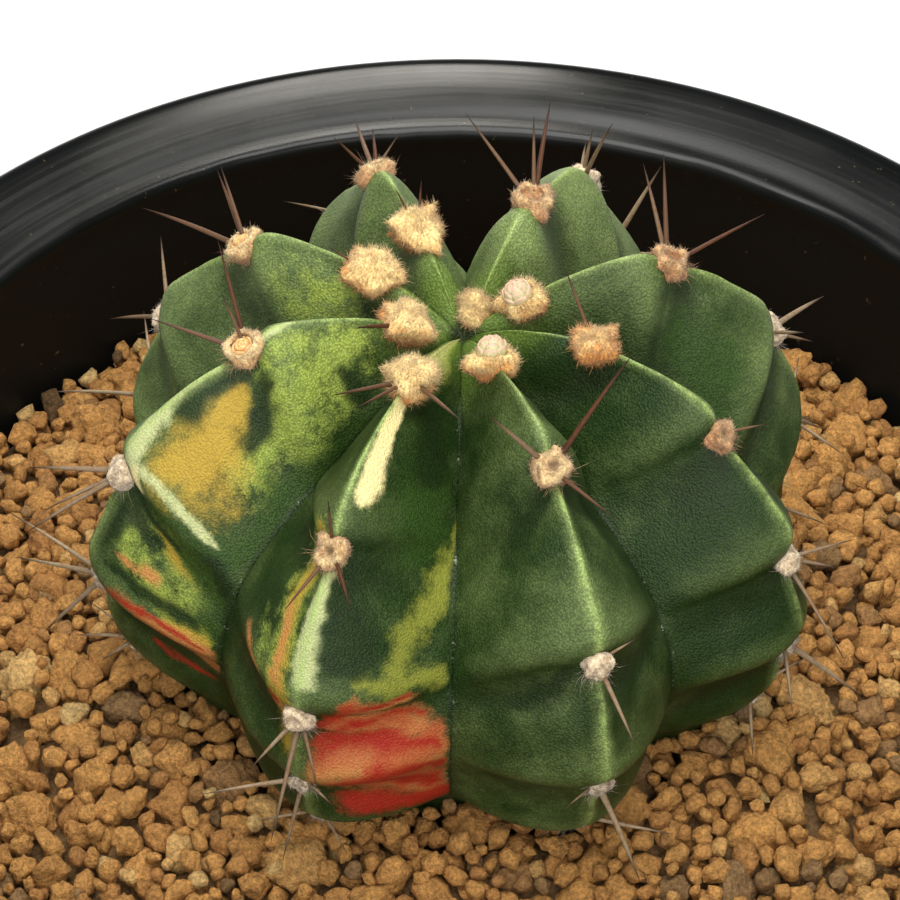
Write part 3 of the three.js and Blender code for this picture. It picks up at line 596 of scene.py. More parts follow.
# %% Strokes of pigment
FLANK_WIDTH = 9
STROKE_SOFTNESS = {"lime": 2.4, "olive": 1.6, "yellow": 1.5, "orange": 1.3, "coral": 1.4, "moss": 1.6, "fresh": 1.0,
                   "red": 1.3, "cream": 0.4, "ivory": 0.5, "dark": 0.9}
STROKES = {
    "lime": [
        ("C", (8.0, 2.4, 1.4), (12.6, 4.0, 2.2)), ("C", (10.0, 1.4, 0.8), (13.0, 1.6, 0.8)),
        ("C", (13.6, 4.6, 1.5), (17.2, 5.0, 0.9)), ("B", (8.8, 3.2, 1.1), (11.6, 4.4, 1.4)),
        ("C", (25.0, 3.4, 1.1), (27.6, 5.2, 1.2)), ("C", (28.4, 2.4, 0.9), (29.6, 4.4, 0.9)),
        ("A", (26.0, 3.5, 1.2), (29.5, 2.6, 1.6)), ("H", (20.5, 3.0, 1.0), (25.5, 4.0, 1.4)),
        ("B", (27.0, -4.0, 1.4), (31.0, -3.0, 1.0)), ("D", (19.0, -2.0, 0.9), (27.6, -1.8, 0.9)),
    ],
    "moss": [
        ("C", (8.0, 7.6, 0.8), (20.0, 7.0, 1.5)), ("C", (21.4, 6.2, 1.6), (25.4, 4.6, 1.5)),
        ("C", (26.4, 6.4, 1.0), (30.0, 6.6, 0.8)), ("G", (15.0, -4.0, 1.2), (20.0, -5.0, 1.6)),
        ("C", (22.6, 3.6, 0.8), (24.4, 2.6, 0.6)), ("D", (15.0, 4.6, 1.6), (19.0, 5.4, 1.8)),
    ],
    "fresh": [("D", (0.6, 0.3, 2.2), (5.8, 0.6, 2.9))],
    "olive": [
        ("D", (20.0, 7.6, 0.9), (25.2, 5.4, 0.85)), ("D", (25.2, 4.9, 0.8), (27.4, 4.5, 0.5)),
        ("D", (3.0, 3.0, 1.6), (5.4, 4.2, 1.2)), ("D", (18.0, 8.3, 0.5), (20.0, 7.7, 0.8)),
        ("D", (27.4, 3.0, 0.5), (28.4, 7.0, 0.8)), ("C", (29.8, 4.0, 0.5), (30.2, 6.6, 0.7)),
    ],
    "yellow": [
        ("C", (15.2, 2.0, 0.3), (17.4, 3.3, 1.5)), ("C", (17.4, 3.3, 1.5), (20.6, 2.8, 1.6)),
        ("C", (20.6, 2.8, 1.4), (22.2, 2.2, 0.9)), ("C", (25.4, 3.0, 0.35), (26.8, 4.4, 0.5)),
        ("D", (18.4, -1.9, 0.4), (23.6, -2.1, 0.65)), ("D", (23.6, -2.1, 0.65), (28.2, -1.3, 0.55)),
        ("A", (27.0, 3.2, 0.5), (29.0, 2.7, 0.8)),
        ("D", (28.2, -1.3, 0.6), (32.5, -0.9, 0.7)), ("C", (31.0, 4.6, 0.3), (30.6, 6.4, 0.5)),
    ],
    "cream": [("D", (8.6, 1.0, 0.75), (15.8, 1.4, 0.75)), ("C", (23.0, 1.0, 0.4), (24.0, 1.6, 0.4))],
    "ivory": [
        ("C", (15.6, 0.1, 0.5), (22.8, 0.3, 0.7)), ("D", (20.4, 0.3, 0.55), (26.8, 0.2, 0.8)),
        ("C", (22.8, 1.4, 0.3), (22.0, 5.2, 0.3)), ("C", (10.4, -0.2, 0.3), (12.8, 0.3, 0.5)),
    ],
    "orange": [
        ("D", (27.9, -4.2, 0.35), (30.1, -1.7, 0.6)), ("D", (28.9, 3.0, 0.5), (29.4, 5.0, 0.5)),
        ("D", (30.6, 2.6, 0.9), (31.8, 5.4, 1.1)), ("D", (33.6, 2.4, 1.6), (34.4, 6.4, 1.8)),
        ("D", (36.2, 3.0, 1.4), (37.6, 7.0, 1.4)), ("C", (29.2, 2.2, 0.3), (28.6, 3.4, 0.35)),
        ("C", (31.8, 3.2, 0.7), (31.6, 6.4, 0.9)), ("C", (32.8, 5.0, 0.6), (33.6, 7.0, 0.8)),
        ("D", (24.0, -2.2, 0.3), (27.6, -1.6, 0.4)), ("H", (30.5, 3.0, 0.6), (34.0, 5.0, 1.2)),
    ],
    "coral": [
        ("D", (30.6, 2.2, 0.8), (31.2, 4.8, 0.9)), ("D", (32.6, 1.8, 1.1), (33.4, 6.4, 1.5)),
        ("D", (35.6, 2.4, 1.2), (36.8, 6.6, 1.5)), ("C", (32.2, 2.6, 0.25), (32.4, 6.0, 0.3)),
    ],
    "red": [
        ("D", (30.5, 1.2, 0.35), (29.0, 3.0, 0.5)), ("D", (31.8, 1.4, 0.6), (32.6, 3.6, 0.7)),
        ("D", (29.0, 3.0, 0.35), (28.9, 5.2, 0.2)),
        ("D", (31.4, 1.4, 0.3), (30.6, 4.4, 0.35)), ("D", (30.6, 4.4, 0.3), (31.3, 6.2, 0.2)),
        ("D", (32.6, 1.3, 0.4), (32.2, 3.3, 0.45)), ("D", (32.2, 3.3, 0.45), (33.6, 6.8, 0.35)),
        ("D", (35.5, 1.8, 0.4), (34.2, 4.2, 0.4)), ("D", (34.2, 4.2, 0.4), (35.6, 7.4, 0.4)),
        ("D", (36.8, 2.6, 0.5), (37.4, 7.2, 0.7)), ("D", (38.6, 3.0, 0.9), (39.4, 7.0, 1.2)),
        ("D", (28.6, -4.0, 0.2), (30.2, -1.9, 0.35)), ("C", (32.6, 1.8, 0.28), (31.1, 3.6, 0.34)),
        ("C", (31.1, 3.6, 0.34), (31.4, 6.4, 0.15)), ("C", (32.6, 3.8, 0.12), (32.4, 5.2, 0.18)),
        ("C", (32.4, 5.2, 0.18), (33.8, 7.2, 0.2)), ("C", (36.0, 3.2, 0.2), (35.2, 6.8, 0.2)),
        ("H", (32.5, 3.4, 0.4), (35.0, 5.4, 0.6)),
    ],
    "dark": [
        ("C", (15.0, 0.9, 0.6), (18.6, 1.2, 0.8)), ("C", (14.0, 2.6, 0.7), (16.0, 4.2, 0.6)),
        ("D", (21.2, 1.5, 0.35), (26.8, 1.5, 0.45)),
        ("C", (24.8, 1.4, 0.4), (25.5, 4.2, 0.4)), ("C", (26.6, 1.0, 0.5), (29.0, 1.2, 0.6)),
        ("D", (9.4, 4.3, 0.6), (14.0, 5.0, 1.3)), ("D", (20.8, 1.9, 0.7), (26.4, 2.4, 1.0)),
        ("E", (15.2, -1.8, 0.6), (17.0, -3.2, 1.0)), ("E", (26.4, -1.6, 0.6), (27.6, -3.4, 0.9)),
        ("F", (19.2, -1.6, 0.6), (21.0, -3.2, 1.0)), ("C", (9.0, 3.6, 0.5), (8.2, 5.4, 0.9)),
        ("C", (30.4, 1.6, 0.3), (29.6, 5.6, 0.5)), ("C", (23.4, 5.6, 0.7), (24.6, 7.0, 1.0)),
    ],
}

# %% Paint the strokes
WARP = ((3.2, 0.9), (0.9, 0.35))


def wandering(points):
    """How far each place's pigment strays from its stroke, in millimetres, along and across a rib."""
    strayed = np.zeros((*points.shape[:2], 3))
    for width, amount in WARP:
        for index in np.ndindex(points.shape[:2]):
            strayed[index] += amount * np.array(noise.noise_vector(Vector(points[index] / width)))
    return strayed[..., :2]


stray = wandering(skin)
STEADINESS = {"cream": 0.3, "ivory": 0.6}


def stroke_strength(place, start, end, softness_share):
    """How strongly a stroke colours each place, from 0 to 1."""
    begin, finish = np.array(start[:2]), np.array(end[:2])
    way = finish - begin
    share = np.clip(((place - begin) @ way) / (way @ way), 0, 1)
    gap = np.linalg.norm(place - begin - share[..., None] * way, axis=-1)
    half_width = start[2] + (end[2] - start[2]) * share
    softness = softness_share * half_width + 0.3
    return np.clip(0.5 + (half_width - gap) / softness, 0, 1)


def pigment(name):
    """The strength of a pigment at every point of the skin."""
    sheets = []
    flank_mm = np.degrees(flank_angles) / 90 * FLANK_WIDTH
    for i, rib in enumerate(RIB_NAMES):
        own = stray[:, i * len(flank_angles):(i + 1) * len(flank_angles)] * STEADINESS.get(name, 1)
        place = np.stack(np.broadcast_arrays(rib_parts[rib][1][:, None], flank_mm[None, :]), -1) + own
        strength = np.zeros(place.shape[:2])
        for owner, start, end in STROKES[name]:
            if owner == rib:
                strength = np.maximum(strength, stroke_strength(place, start, end, STROKE_SOFTNESS[name]))
        sheets.append(strength)
    return np.concatenate(sheets, axis=1)


print("strokes:", {name: len(strokes) for name, strokes in STROKES.items()})

# %% [markdown]
# Painted light and shade in the green follow the form: a painted highlight runs along each crest,
# the sides of the folds are painted lighter, and the hollows under the areoles, the grooves and the
# apex pit are painted darker. The ribs that get most sun are a paler, greyer green than the others.
# These too are numbers on the mesh.

# %% Numbers for the green
RIB_PALENESS = {"G": 0.3, "H": 0.62, "A": 0.42, "B": 0.5, "C": 0.18, "D": -0.02, "E": 0.2, "F": -0.12}
# the width of the painted highlight line along each crest
CREST_HIGHLIGHT_WIDTH = math.radians(4)


def blended_paleness():
    """The paleness of each column, which changes evenly from crest to crest."""
    columns = []
    for i, rib in enumerate(RIB_NAMES):
        for angle in flank_angles:
            other = RIB_NAMES[(i + (1 if angle >= 0 else -1)) % len(RIB_NAMES)]
            share = abs(angle) / math.pi
            columns.append(RIB_PALENESS[rib] * (1 - share) + RIB_PALENESS[other] * share)
    return np.array(columns)


def groove_shade(stations):
    """How near each point is to a groove, whose line of painted shade is wider near the apex."""
    width = math.radians(9) + math.radians(16) * bell(stations, 1.5, 4)[:, None]
    return bell(np.abs(flank_angles)[None, :], math.pi / 2, width)


rows = len(row_place)
green_numbers = {
    "crest_highlight": np.tile(bell(flank_angles, 0, CREST_HIGHLIGHT_WIDTH), (rows, len(RIB_NAMES))),
    "groove": np.concatenate([groove_shade(rib_parts[rib][1]) for rib in RIB_NAMES], axis=1),
    "fold": np.concatenate([rib_parts[rib][2] for rib in RIB_NAMES], axis=1),
    "paleness": np.tile(blended_paleness(), (rows, 1)),
    "station": np.concatenate([np.tile(rib_parts[rib][1][:, None], (1, len(flank_angles)))
                               for rib in RIB_NAMES], axis=1),
}
print("numbers on the skin:", sorted(green_numbers) + sorted(STROKES))

# %% [markdown]
# The skin is a waxy epidermis over water-filled tissue. Under a lens it is finely dotted, like velvet
# leather: each dot is a cell bump about a tenth of a millimetre wide. That is at the limit of the
# picture, so the dots are drawn about 0.13 mm wide. They are both a bump and a change of colour. A
# little light goes into the tissue and comes out again, which softens the shade, and the wax gives
# a broad dull sheen.

# %% Cactus epidermis
# hollow is the colour of painted shade in grooves, hollows and the apex pit, crest that of a painted highlight along
# the crests, and pale also serves as painted light on raised folds
SKIN_COLOURS = {
    "deep": "#1e350e", "pale": "#879b5c", "crest": "#9db368", "hollow": "#15220d", "lime": "#95a648", "moss": "#324c1b",
    "olive": "#7e8230", "yellow": "#b19436", "cream": "#f6e6a4", "orange": "#c6854b", "coral": "#b35b34", "red": "#a4291b",
    "ivory": "#bcc28a", "young": "#6f8a35", "fresh": "#b5b46c", "dark": "#1d3010", "frost": "#b9bfa6",
}
DOT_WIDTH = 0.14
RAGGEDNESS = {"lime": 1.0, "olive": 0.8}


def cactus_epidermis():
    """Living skin: waxy, finely dotted, green with pigment patches that break up at their edges."""
    skin_material = new_material("cactus_epidermis")
    m = skin_material
    colours = {name: linear(value) for name, value in SKIN_COLOURS.items()}
    place = add(m, "TexCoord").outputs["Object"]
    clouds = noise_at(m, place, 3.2, 4)
    blotches = noise_at(m, place, 1.3, 6, 0.7)
    grain = noise_at(m, place, DOT_WIDTH, 3, 0.75)
    dots = add(m, "TexVoronoi", {"Vector": place, "Scale": 1 / (DOT_WIDTH * MM), "Randomness": 1.0},
               feature="F1").outputs["Distance"]
    fold, groove = attribute(m, "fold"), attribute(m, "groove")
    paleness = calculated(m, "ADD", attribute(m, "paleness"),
                          calculated(m, "MULTIPLY", calculated(m, "SUBTRACT", clouds, 0.5), 1.1))
    paleness = calculated(m, "ADD", paleness, calculated(m, "MULTIPLY",
                          calculated(m, "SUBTRACT", grain, 0.5), 0.2))
    colour = mixed(m, ranged(m, paleness, -0.1, 1.15), colours["deep"], colours["pale"])
    # painted light and shade: the raised parts of the folds are painted paler, and the sunken hollows under the areoles
    # are painted darker in the colour hollow
    raised_highlight = ranged(m, calculated(m, "ADD", fold, calculated(m, "MULTIPLY", blotches, 0.5)), 0.45, 1.5)
    colour = mixed(m, calculated(m, "MULTIPLY", raised_highlight, 0.45), colour, colours["pale"])
    sunken_shade = ranged(m, calculated(m, "ADD", fold, calculated(m, "MULTIPLY", grain, 0.3)), 0.1, -0.4)
    colour = mixed(m, calculated(m, "MULTIPLY", sunken_shade, 0.6), colour, colours["hollow"])
    ragged = calculated(m, "MULTIPLY", calculated(m, "SUBTRACT", blotches, 0.5), 2.2)
    speckled = calculated(m, "ADD", ragged, calculated(m, "MULTIPLY", calculated(m, "SUBTRACT", grain, 0.5), 0.5))
    patches = 0.0
    for name in ("lime", "moss", "olive", "yellow", "orange", "coral", "red", "cream", "ivory", "dark"):
        painted = attribute(m, name)
        broken = calculated(m, "MULTIPLY", speckled,
                            ranged(m, painted, 0, 0.25, 0, RAGGEDNESS.get(name, 0.62)))
        strength = calculated(m, "ADD", painted, broken)
        covered = ranged(m, strength, 0.15, 0.95, 0, 0.95)
        colour = mixed(m, covered, colour, colours[name])
        if name not in ("lime", "moss", "dark"):
            patches = calculated(m, "MAXIMUM", patches, covered)
    # painted highlight: a pale line in the colour crest along every crest
    line = calculated(m, "MULTIPLY", attribute(m, "crest_highlight"), ranged(m, blotches, 0.35, 0.65, 0.4, 1.0))
    colour = mixed(m, line, colour, colours["crest"])
    young = ranged(m, attribute(m, "station"), 7.5, 3.5, 0, 0.55)
    colour = mixed(m, young, colour, colours["young"])
    # painted shade: the grooves and the sunken apex are darkened with the colour hollow
    colour = mixed(m, calculated(m, "MULTIPLY", groove, 0.75), colour, colours["hollow"])
    colour = mixed(m, ranged(m, attribute(m, "station"), 1.6, 0.6, 0, 0.9), colour, colours["hollow"])
    fresh = calculated(m, "MULTIPLY", attribute(m, "fresh"), ranged(m, groove, 0.75, 0.2, 0, 0.8))
    colour = mixed(m, fresh, colour, colours["fresh"])
    frost = calculated(m, "MULTIPLY", groove, ranged(m, noise_at(m, place, 0.35, 2), 0.62, 0.72))
    colour = mixed(m, calculated(m, "MULTIPLY", frost, 0.5), colour, colours["frost"])
    shade = ranged(m, dots, 0.1, 0.7, 1.2, 0.68)
    shade = calculated(m, "MULTIPLY", shade, ranged(m, grain, 0.3, 0.7, 0.86, 1.14))
    shade = calculated(m, "ADD", shade, calculated(m, "MULTIPLY", calculated(m, "MULTIPLY", patches, 0.6),
                                                   calculated(m, "SUBTRACT", 1.0, shade)))
    colour = mixed(m, 1.0, colour, add(m, "CombineXYZ", {0: shade, 1: shade, 2: shade}).outputs[0],
                   "MULTIPLY")
    relief = calculated(m, "ADD", calculated(m, "MULTIPLY", dots, -1.0), calculated(m, "MULTIPLY", grain, 0.6))
    bump = add(m, "Bump", {"Height": relief, "Strength": 0.75, "Distance": 0.062 * MM})
    surface = add(m, "BsdfPrincipled", {
        "Base Color": colour, "Roughness": ranged(m, grain, 0.3, 0.7, 0.38, 0.54), "IOR": 1.42,
        "Specular IOR Level": 0.32,
        "Subsurface Weight": 0.08, "Subsurface Radius": (0.9, 1.1, 0.4), "Subsurface Scale": 0.8 * MM,
        "Normal": bump.outputs[0]})
    finished(m, surface)
    return skin_material


# %% Make the body
apex = [PLANT_X, 0, POT_HEIGHT + CREST_PROFILE[0][1] - 0.2]
root_tip = [PLANT_X, 0, POT_HEIGHT + CREST_PROFILE[-1][1]]
columns = skin.shape[1]
body_points = np.concatenate([[apex], skin.reshape(-1, 3), [root_tip]])
body_numbers = {name: np.r_[0, values.ravel(), 0]
                for name, values in {**green_numbers, **{n: pigment(n) for n in STROKES}}.items()}
body = mesh_object("cactus_body", body_points, round_faces(rows, columns), cactus_epidermis(), body_numbers)
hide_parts("cactus")
body_tree = BVHTree.FromObject(body, bpy.context.evaluated_depsgraph_get())

# %% [markdown]
# ## Spines
# A spine is dead horn: round, hard, thickest just over its root, and drawn out to a dark needle tip.
# Young ones near the apex are red-brown. Old ones lower down have weathered to a chalky grey with
# brown left in the middle. Each one is a tapered tube bent a little towards the ground. The turn
# tells where it points, in degrees round from uphill, and the lift how far it stands off the skin.

# %% Where the spines are
SPINES = {
    "G": [[], [(75, 35, 5), (80, 45, 5.5), (165, 35, 5.5)], [(135, 35, 6), (175, 35, 2.5), (-60, 30, 3)],
          [(-100, 35, 3), (150, 35, 5), (80, 30, 4)], [(-60, 30, 4), (60, 30, 4)]],
    "H": [[], [(105, 35, 5.5), (160, 35, 5.5), (150, 50, 4)], [(-20, 35, 5.5), (-5, 50, 3), (150, 35, 4)],
          [(-20, 35, 6), (-105, 35, 3), (120, 30, 5)], [(-70, 30, 5), (70, 30, 5), (180, 30, 4)]],
    "A": [[(160, 40, 1.5), (-160, 40, 1.5)], [(-170, 35, 5), (-155, 35, 3.5), (60, 50, 3)],
          [(-60, 35, 5), (95, 35, 2.8), (180, 30, 4)], [(-90, 30, 5), (90, 30, 5), (180, 25, 5)],
          [(-60, 30, 4), (60, 30, 4)]],
    "B": [[(170, 20, 1.5)], [(-165, 35, 6.5), (-120, 35, 5), (-110, 45, 4.5)],
          [(-160, 35, 5), (-90, 35, 5)], [(50, 35, 6.5), (-60, 30, 5), (180, 25, 4)],
          [(-60, 30, 4), (60, 30, 4)]],
    "C": [[(150, 20, 4)], [(-145, 35, 4.5), (-75, 35, 5.5), (-75, 60, 2.5)],
          [(-135, 35, 5.5), (-165, 35, 4.5), (-175, 35, 6)], [(-80, 35, 7), (-115, 35, 7), (-160, 35, 6)],
          [(5, 35, 3.5), (45, 35, 2.5), (-90, 25, 4)]],
    "D": [[(-150, 12, 4), (-170, 15, 4), (125, 12, 4)], [(-10, 35, 2.5), (-165, 35, 3), (130, 35, 3)],
          [(-145, 35, 3), (175, 35, 6), (135, 35, 3)], [(-75, 35, 5), (-175, 35, 4.5), (60, 25, 2.5)],
          [(-60, 30, 3), (60, 30, 3)]],
    "E": [[], [(-45, 35, 4.5), (50, 35, 7), (160, 35, 4)], [(170, 35, 4), (60, 20, 1.5)],
          [(160, 35, 6), (-70, 25, 2)], [(-140, 35, 4), (160, 35, 3.5), (70, 25, 5)]],
    "F": [[(40, 35, 3.5)], [(120, 20, 2)], [(105, 35, 3.5), (130, 35, 2.5), (-160, 35, 5.5)],
          [(145, 35, 7.5), (-90, 30, 4)], [(70, 20, 3.5), (-100, 35, 3)]],
}
SPINE_RADIUS = 0.155
SPINE_DROOP = 0.08
SPINE_SIDES = 8
SPINE_STEPS = 14
SOIL_DEPTH_AT_WALL = 11.5
SOIL_DEPTH_AT_PLANT = 5.8
MOUND_RADIUS = 18
GRANULE_RELIEF = 1.2


def pad_radius(station):
    """The radius of the woolly pad at a station: the young ones near the apex are the largest."""
    return 1.77 - 0.024 * station


def soil_level(x, y):
    """The level of the soil, which is heaped up a little round the plant."""
    share = np.clip((np.hypot(x - PLANT_X, y) - MOUND_RADIUS) / (RIM_RADIUS - LIP_WIDTH - MOUND_RADIUS), 0, 1)
    share = share ** 0.8
    share = share * share * (3 - 2 * share)
    return POT_HEIGHT - (SOIL_DEPTH_AT_PLANT + (SOIL_DEPTH_AT_WALL - SOIL_DEPTH_AT_PLANT) * share)


# %% Make a spine
spine_random = np.random.default_rng(4)


def spine_tube(rib, station, spine):
    """The points of one spine, ring by ring, and how far along it each point is."""
    turn, lift, length = spine
    place, outward, uphill, sideways = crest_frame(rib, station)
    size = pad_radius(station)
    turn, lift = math.radians(turn), math.radians(lift)
    along_skin = uphill * math.cos(turn) + sideways * math.sin(turn)
    direction = along_skin * math.cos(lift) + outward * math.sin(lift)
    root = place - outward * 0.1
    bend = np.cross(direction, outward) * spine_random.normal(0, 0.035)
    reach = np.linspace(0, 1, SPINE_STEPS)
    line = root + direction * (reach * (length + size))[:, None] + bend * (length * reach ** 2)[:, None]
    line[:, 2] -= SPINE_DROOP * length * reach ** 2
    floor = soil_level(line[:, 0], line[:, 1]) + GRANULE_RELIEF + 0.3
    line[1:, 2] = np.maximum(line[1:, 2], floor[1:])
    thickness = SPINE_RADIUS * spine_random.uniform(0.8, 1.1) * min(1, 0.5 + length / 10)
    radii = thickness * (1 - reach ** 2.4) * (1 + 0.3 * bell(reach, 0.1, 0.1)) + 0.012
    along = np.gradient(line, axis=0)
    along /= np.linalg.norm(along, axis=1)[:, None]
    across = np.cross(along, outward)
    across /= np.linalg.norm(across, axis=1)[:, None]
    over = np.cross(across, along)
    angles = np.arange(SPINE_SIDES) * 2 * math.pi / SPINE_SIDES
    rings = line[:, None] + radii[:, None, None] * (
        across[:, None] * np.cos(angles)[:, None] + over[:, None] * np.sin(angles)[:, None] * 0.85)
    points = np.concatenate([[line[0]], rings.reshape(-1, 3), [line[-1] + along[-1] * 0.05]])
    return points, np.r_[0, np.repeat(reach, SPINE_SIDES), 1]


# %% [markdown]
# The horn's colour runs along the spine, and its age decides between red-brown and grey. Fine fibres
# run the length of it, so the noise of its bump is short across the spine and long along it. Here
# that is done by noise that is simply finer than the spine is thick.

# %% Spine horn
SPINE_COLOURS = {"young": "#4d2d1b", "root": "#341c10", "tip": "#1c0e08", "old": "#a8977c", "worn": "#7c6143"}


def spine_horn():
    """Dead horn: red-brown when young, chalk grey when old, always with a dark tip."""
    m = new_material("spine_horn")
    colours = {name: linear(value) for name, value in SPINE_COLOURS.items()}
    place = add(m, "TexCoord").outputs["Object"]
    along, age = attribute(m, "along"), attribute(m, "age")
    fibres = noise_at(m, place, 0.3, 4, 0.7)
    young = mixed(m, ranged(m, along, 0.0, 0.35), colours["root"], colours["young"])
    old = mixed(m, ranged(m, fibres, 0.35, 0.7), colours["old"], colours["worn"])
    colour = mixed(m, age, young, old)
    colour = mixed(m, ranged(m, along, 0.6, 1.0, 0, 0.9), colour, colours["tip"])
    shade = ranged(m, fibres, 0.25, 0.75, 0.75, 1.25)
    colour = mixed(m, 1.0, colour, add(m, "CombineXYZ", {0: shade, 1: shade, 2: shade}).outputs[0],
                   "MULTIPLY")
    bump = add(m, "Bump", {"Height": fibres, "Strength": 0.5, "Distance": 0.05 * MM})
    surface = add(m, "BsdfPrincipled", {"Base Color": colour, "Roughness": 0.5, "IOR": 1.55,
                                        "Specular IOR Level": 0.16, "Normal": bump.outputs[0]})
    finished(m, surface)
    return m


# %% Make the spines
SPINE_AGE = [0.0, 0.12, 0.55, 0.85, 1.0]
spine_points, spine_faces, spine_along, spine_age = [], [], [], []
for rib in RIB_NAMES:
    for order, spines in enumerate(SPINES[rib]):
        for spine in spines:
            tube, reach = spine_tube(rib, AREOLE_STATIONS[rib][order], spine)
            spine_faces += round_faces(SPINE_STEPS, SPINE_SIDES, sum(map(len, spine_points)))
            spine_points.append(tube)
            spine_along.append(reach)
            age = np.clip(SPINE_AGE[order] + spine_random.normal(0, 0.12), 0, 1)
            spine_age.append(np.full(len(tube), age))
spines = mesh_object("spines", np.concatenate(spine_points), spine_faces, spine_horn(),
                     {"along": np.concatenate(spine_along), "age": np.concatenate(spine_age)})
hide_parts("cactus")

# %% [markdown]
# ## Wool
# Each areole is a cushion of felted hairs. A young one is a fluffy dome. One that has been in flower
# keeps a cup with a pale rim, and an old one is a small matted knob. A particle system would make the
# hairs quickly, but they must be real mesh here, so each hair is a thin three-sided needle on a
# lumpy cushion of felt.

# %% Cushions of felt
WOOL_SEED = 17
CUSHION_SIDES = 36
CUSHION_ROWS = 20
CUSHION_PROFILES = {
    "young": [(0.02, 0.80), (0.36, 0.82), (0.66, 0.76), (0.88, 0.56), (0.96, 0.28), (0.84, -0.1), (0.45, -0.5)],
    "ring": [(0.02, 0.35), (0.34, 0.36), (0.56, 0.60), (0.76, 0.72), (0.95, 0.46), (0.90, 0.1), (0.45, -0.5)],
    "drum": [(0.02, 0.66), (0.36, 0.68), (0.58, 0.92), (0.76, 0.90), (0.90, 0.52), (0.84, 0.05), (0.45, -0.5)],
    "cup": [(0.02, 0.40), (0.42, 0.42), (0.62, 0.78), (0.80, 0.84), (0.94, 0.50), (0.86, 0.05), (0.45, -0.5)],
    "pad": [(0.02, 0.50), (0.14, 0.62), (0.34, 0.84), (0.64, 0.82), (0.86, 0.55), (0.88, 0.1), (0.45, -0.5)],
    "old": [(0.02, 1.02), (0.36, 1.10), (0.66, 1.00), (0.88, 0.70), (0.96, 0.30), (0.86, -0.1), (0.50, -0.5)],
}
PAD_SCALES = {("H", 0): 0.72, ("A", 0): 1.18, ("B", 0): 1.2, ("C", 0): 1.14, ("D", 0): 1.14, ("E", 0): 1.04,
              ("F", 1): 0.88}
FELT_RADIUS = 0.88
SEATED = 0.3
CORNER_SHARES = [0.7, 0.3, 0.1, 0.1, 0.1]
wool_random = np.random.default_rng(WOOL_SEED)


def cushion_kind(rib, order):
    """Which shape of cushion an areole has."""
    if order == 0 and rib in "EG":
        return "ring"
    if order == 1 and rib in "BCDEF":
        return "cup" if rib in "BC" else "pad"
    return ["young", "drum", "old", "old", "old"][order]


def areole_place(rib, order):
    """The frame of an areole, sunk a little into the seat that the skin has for it."""
    place, outward, uphill, sideways = crest_frame(rib, AREOLE_STATIONS[rib][order])
    return place - outward * SEATED, outward, uphill, sideways


def felt_radius(rib, order):
    """The radius of an areole's felt, without the hairs that stand out of it."""
    return FELT_RADIUS * pad_radius(AREOLE_STATIONS[rib][order]) * PAD_SCALES.get((rib, order), 1)


def cornered(angle, corners):
    """How far out the side of a regular polygon is, by angle, with a mean near 1."""
    half_turn = math.pi / corners
    side = math.cos(half_turn) / math.cos(angle % (2 * half_turn) - half_turn)
    return side / ((1 + math.cos(half_turn)) / 2)


def cushion(rib, order):
    """The points of a lumpy cushion and how far up it each point is."""
    place, outward, uphill, sideways = areole_place(rib, order)
    radius = felt_radius(rib, order)
    profile = smooth_curve(CUSHION_PROFILES[cushion_kind(rib, order)], np.linspace(0, 1, CUSHION_ROWS))
    seed = Vector(wool_random.uniform(0, 50, 3))
    corners, skew = wool_random.integers(3, 6), wool_random.uniform(0, 2 * math.pi)
    corner_share = CORNER_SHARES[order]
    angles = np.arange(CUSHION_SIDES) * 2 * math.pi / CUSHION_SIDES
    points, heights = [place + outward * radius * profile[0, 1]], [profile[0, 1]]
    for width, height in profile:
        for angle in angles:
            reach = width * (1 + corner_share * (cornered(angle - skew, corners) - 1))
            x, y = reach * math.cos(angle), reach * math.sin(angle)
            spot = Vector((x, y, height))
            lump = 1 + 0.42 * noise.noise(spot * 1.3 + seed) + 0.10 * noise.noise(spot * 4 + seed) \
                + 0.09 * noise.noise(spot * 11 + seed)
            points.append(place + (sideways * x + uphill * y) * radius * lump
                          + outward * radius * height * (0.6 + 0.4 * lump))
            heights.append(height)
    points.append(place + outward * radius * profile[-1, 1])
    heights.append(profile[-1, 1])
    return np.array(points), np.array(heights)


# %% [markdown]
# The hairs stand all over the cushion, most of them round its sides, and every one leans and curls a
# little in its own way. Their colour is the wool's: orange tan low down and inside, cream at the rim,
# and white on the oldest areoles. Old areoles also have a beard of longer white hairs that hangs down
# over the skin below them.

# %% Hairs
HAIR_RADIUS = 0.015
FLUFF_RADIUS = 0.02
HAIRS = {"young": 640, "ring": 620, "drum": 420, "cup": 380, "pad": 420, "old": 90}
FLUFF = {"young": 2700, "ring": 2400, "drum": 1800, "cup": 1600, "pad": 1700, "old": 460}
HAIR_LENGTHS = {"young": (0.25, 0.68), "ring": (0.25, 0.68), "drum": (0.18, 0.45), "cup": (0.18, 0.45),
                "pad": (0.18, 0.45), "old": (0.15, 0.4)}
FLUFF_SHARE = 0.72
HAIR_SPREAD = 0.5
HAIR_LOCKS = 1.0
HAIR_CURL = 0.5
BEARD = {1: 30, 2: 40, 3: 50, 4: 50}
BEARD_LENGTH = (0.5, 1.3)
HAIR_FACES = np.array([[0, 2, 1], [0, 1, 4], [0, 4, 3], [1, 2, 5], [1, 5, 4], [2, 0, 3], [2, 3, 5],
                       [3, 4, 6], [4, 5, 6], [5, 3, 6]])
FLUFF_FACES = np.array([[0, 2, 1], [0, 1, 3], [1, 2, 3], [2, 0, 3]])


def unit(vectors):
    """The same directions, each one long."""
    return vectors / np.linalg.norm(vectors, axis=-1)[..., None]


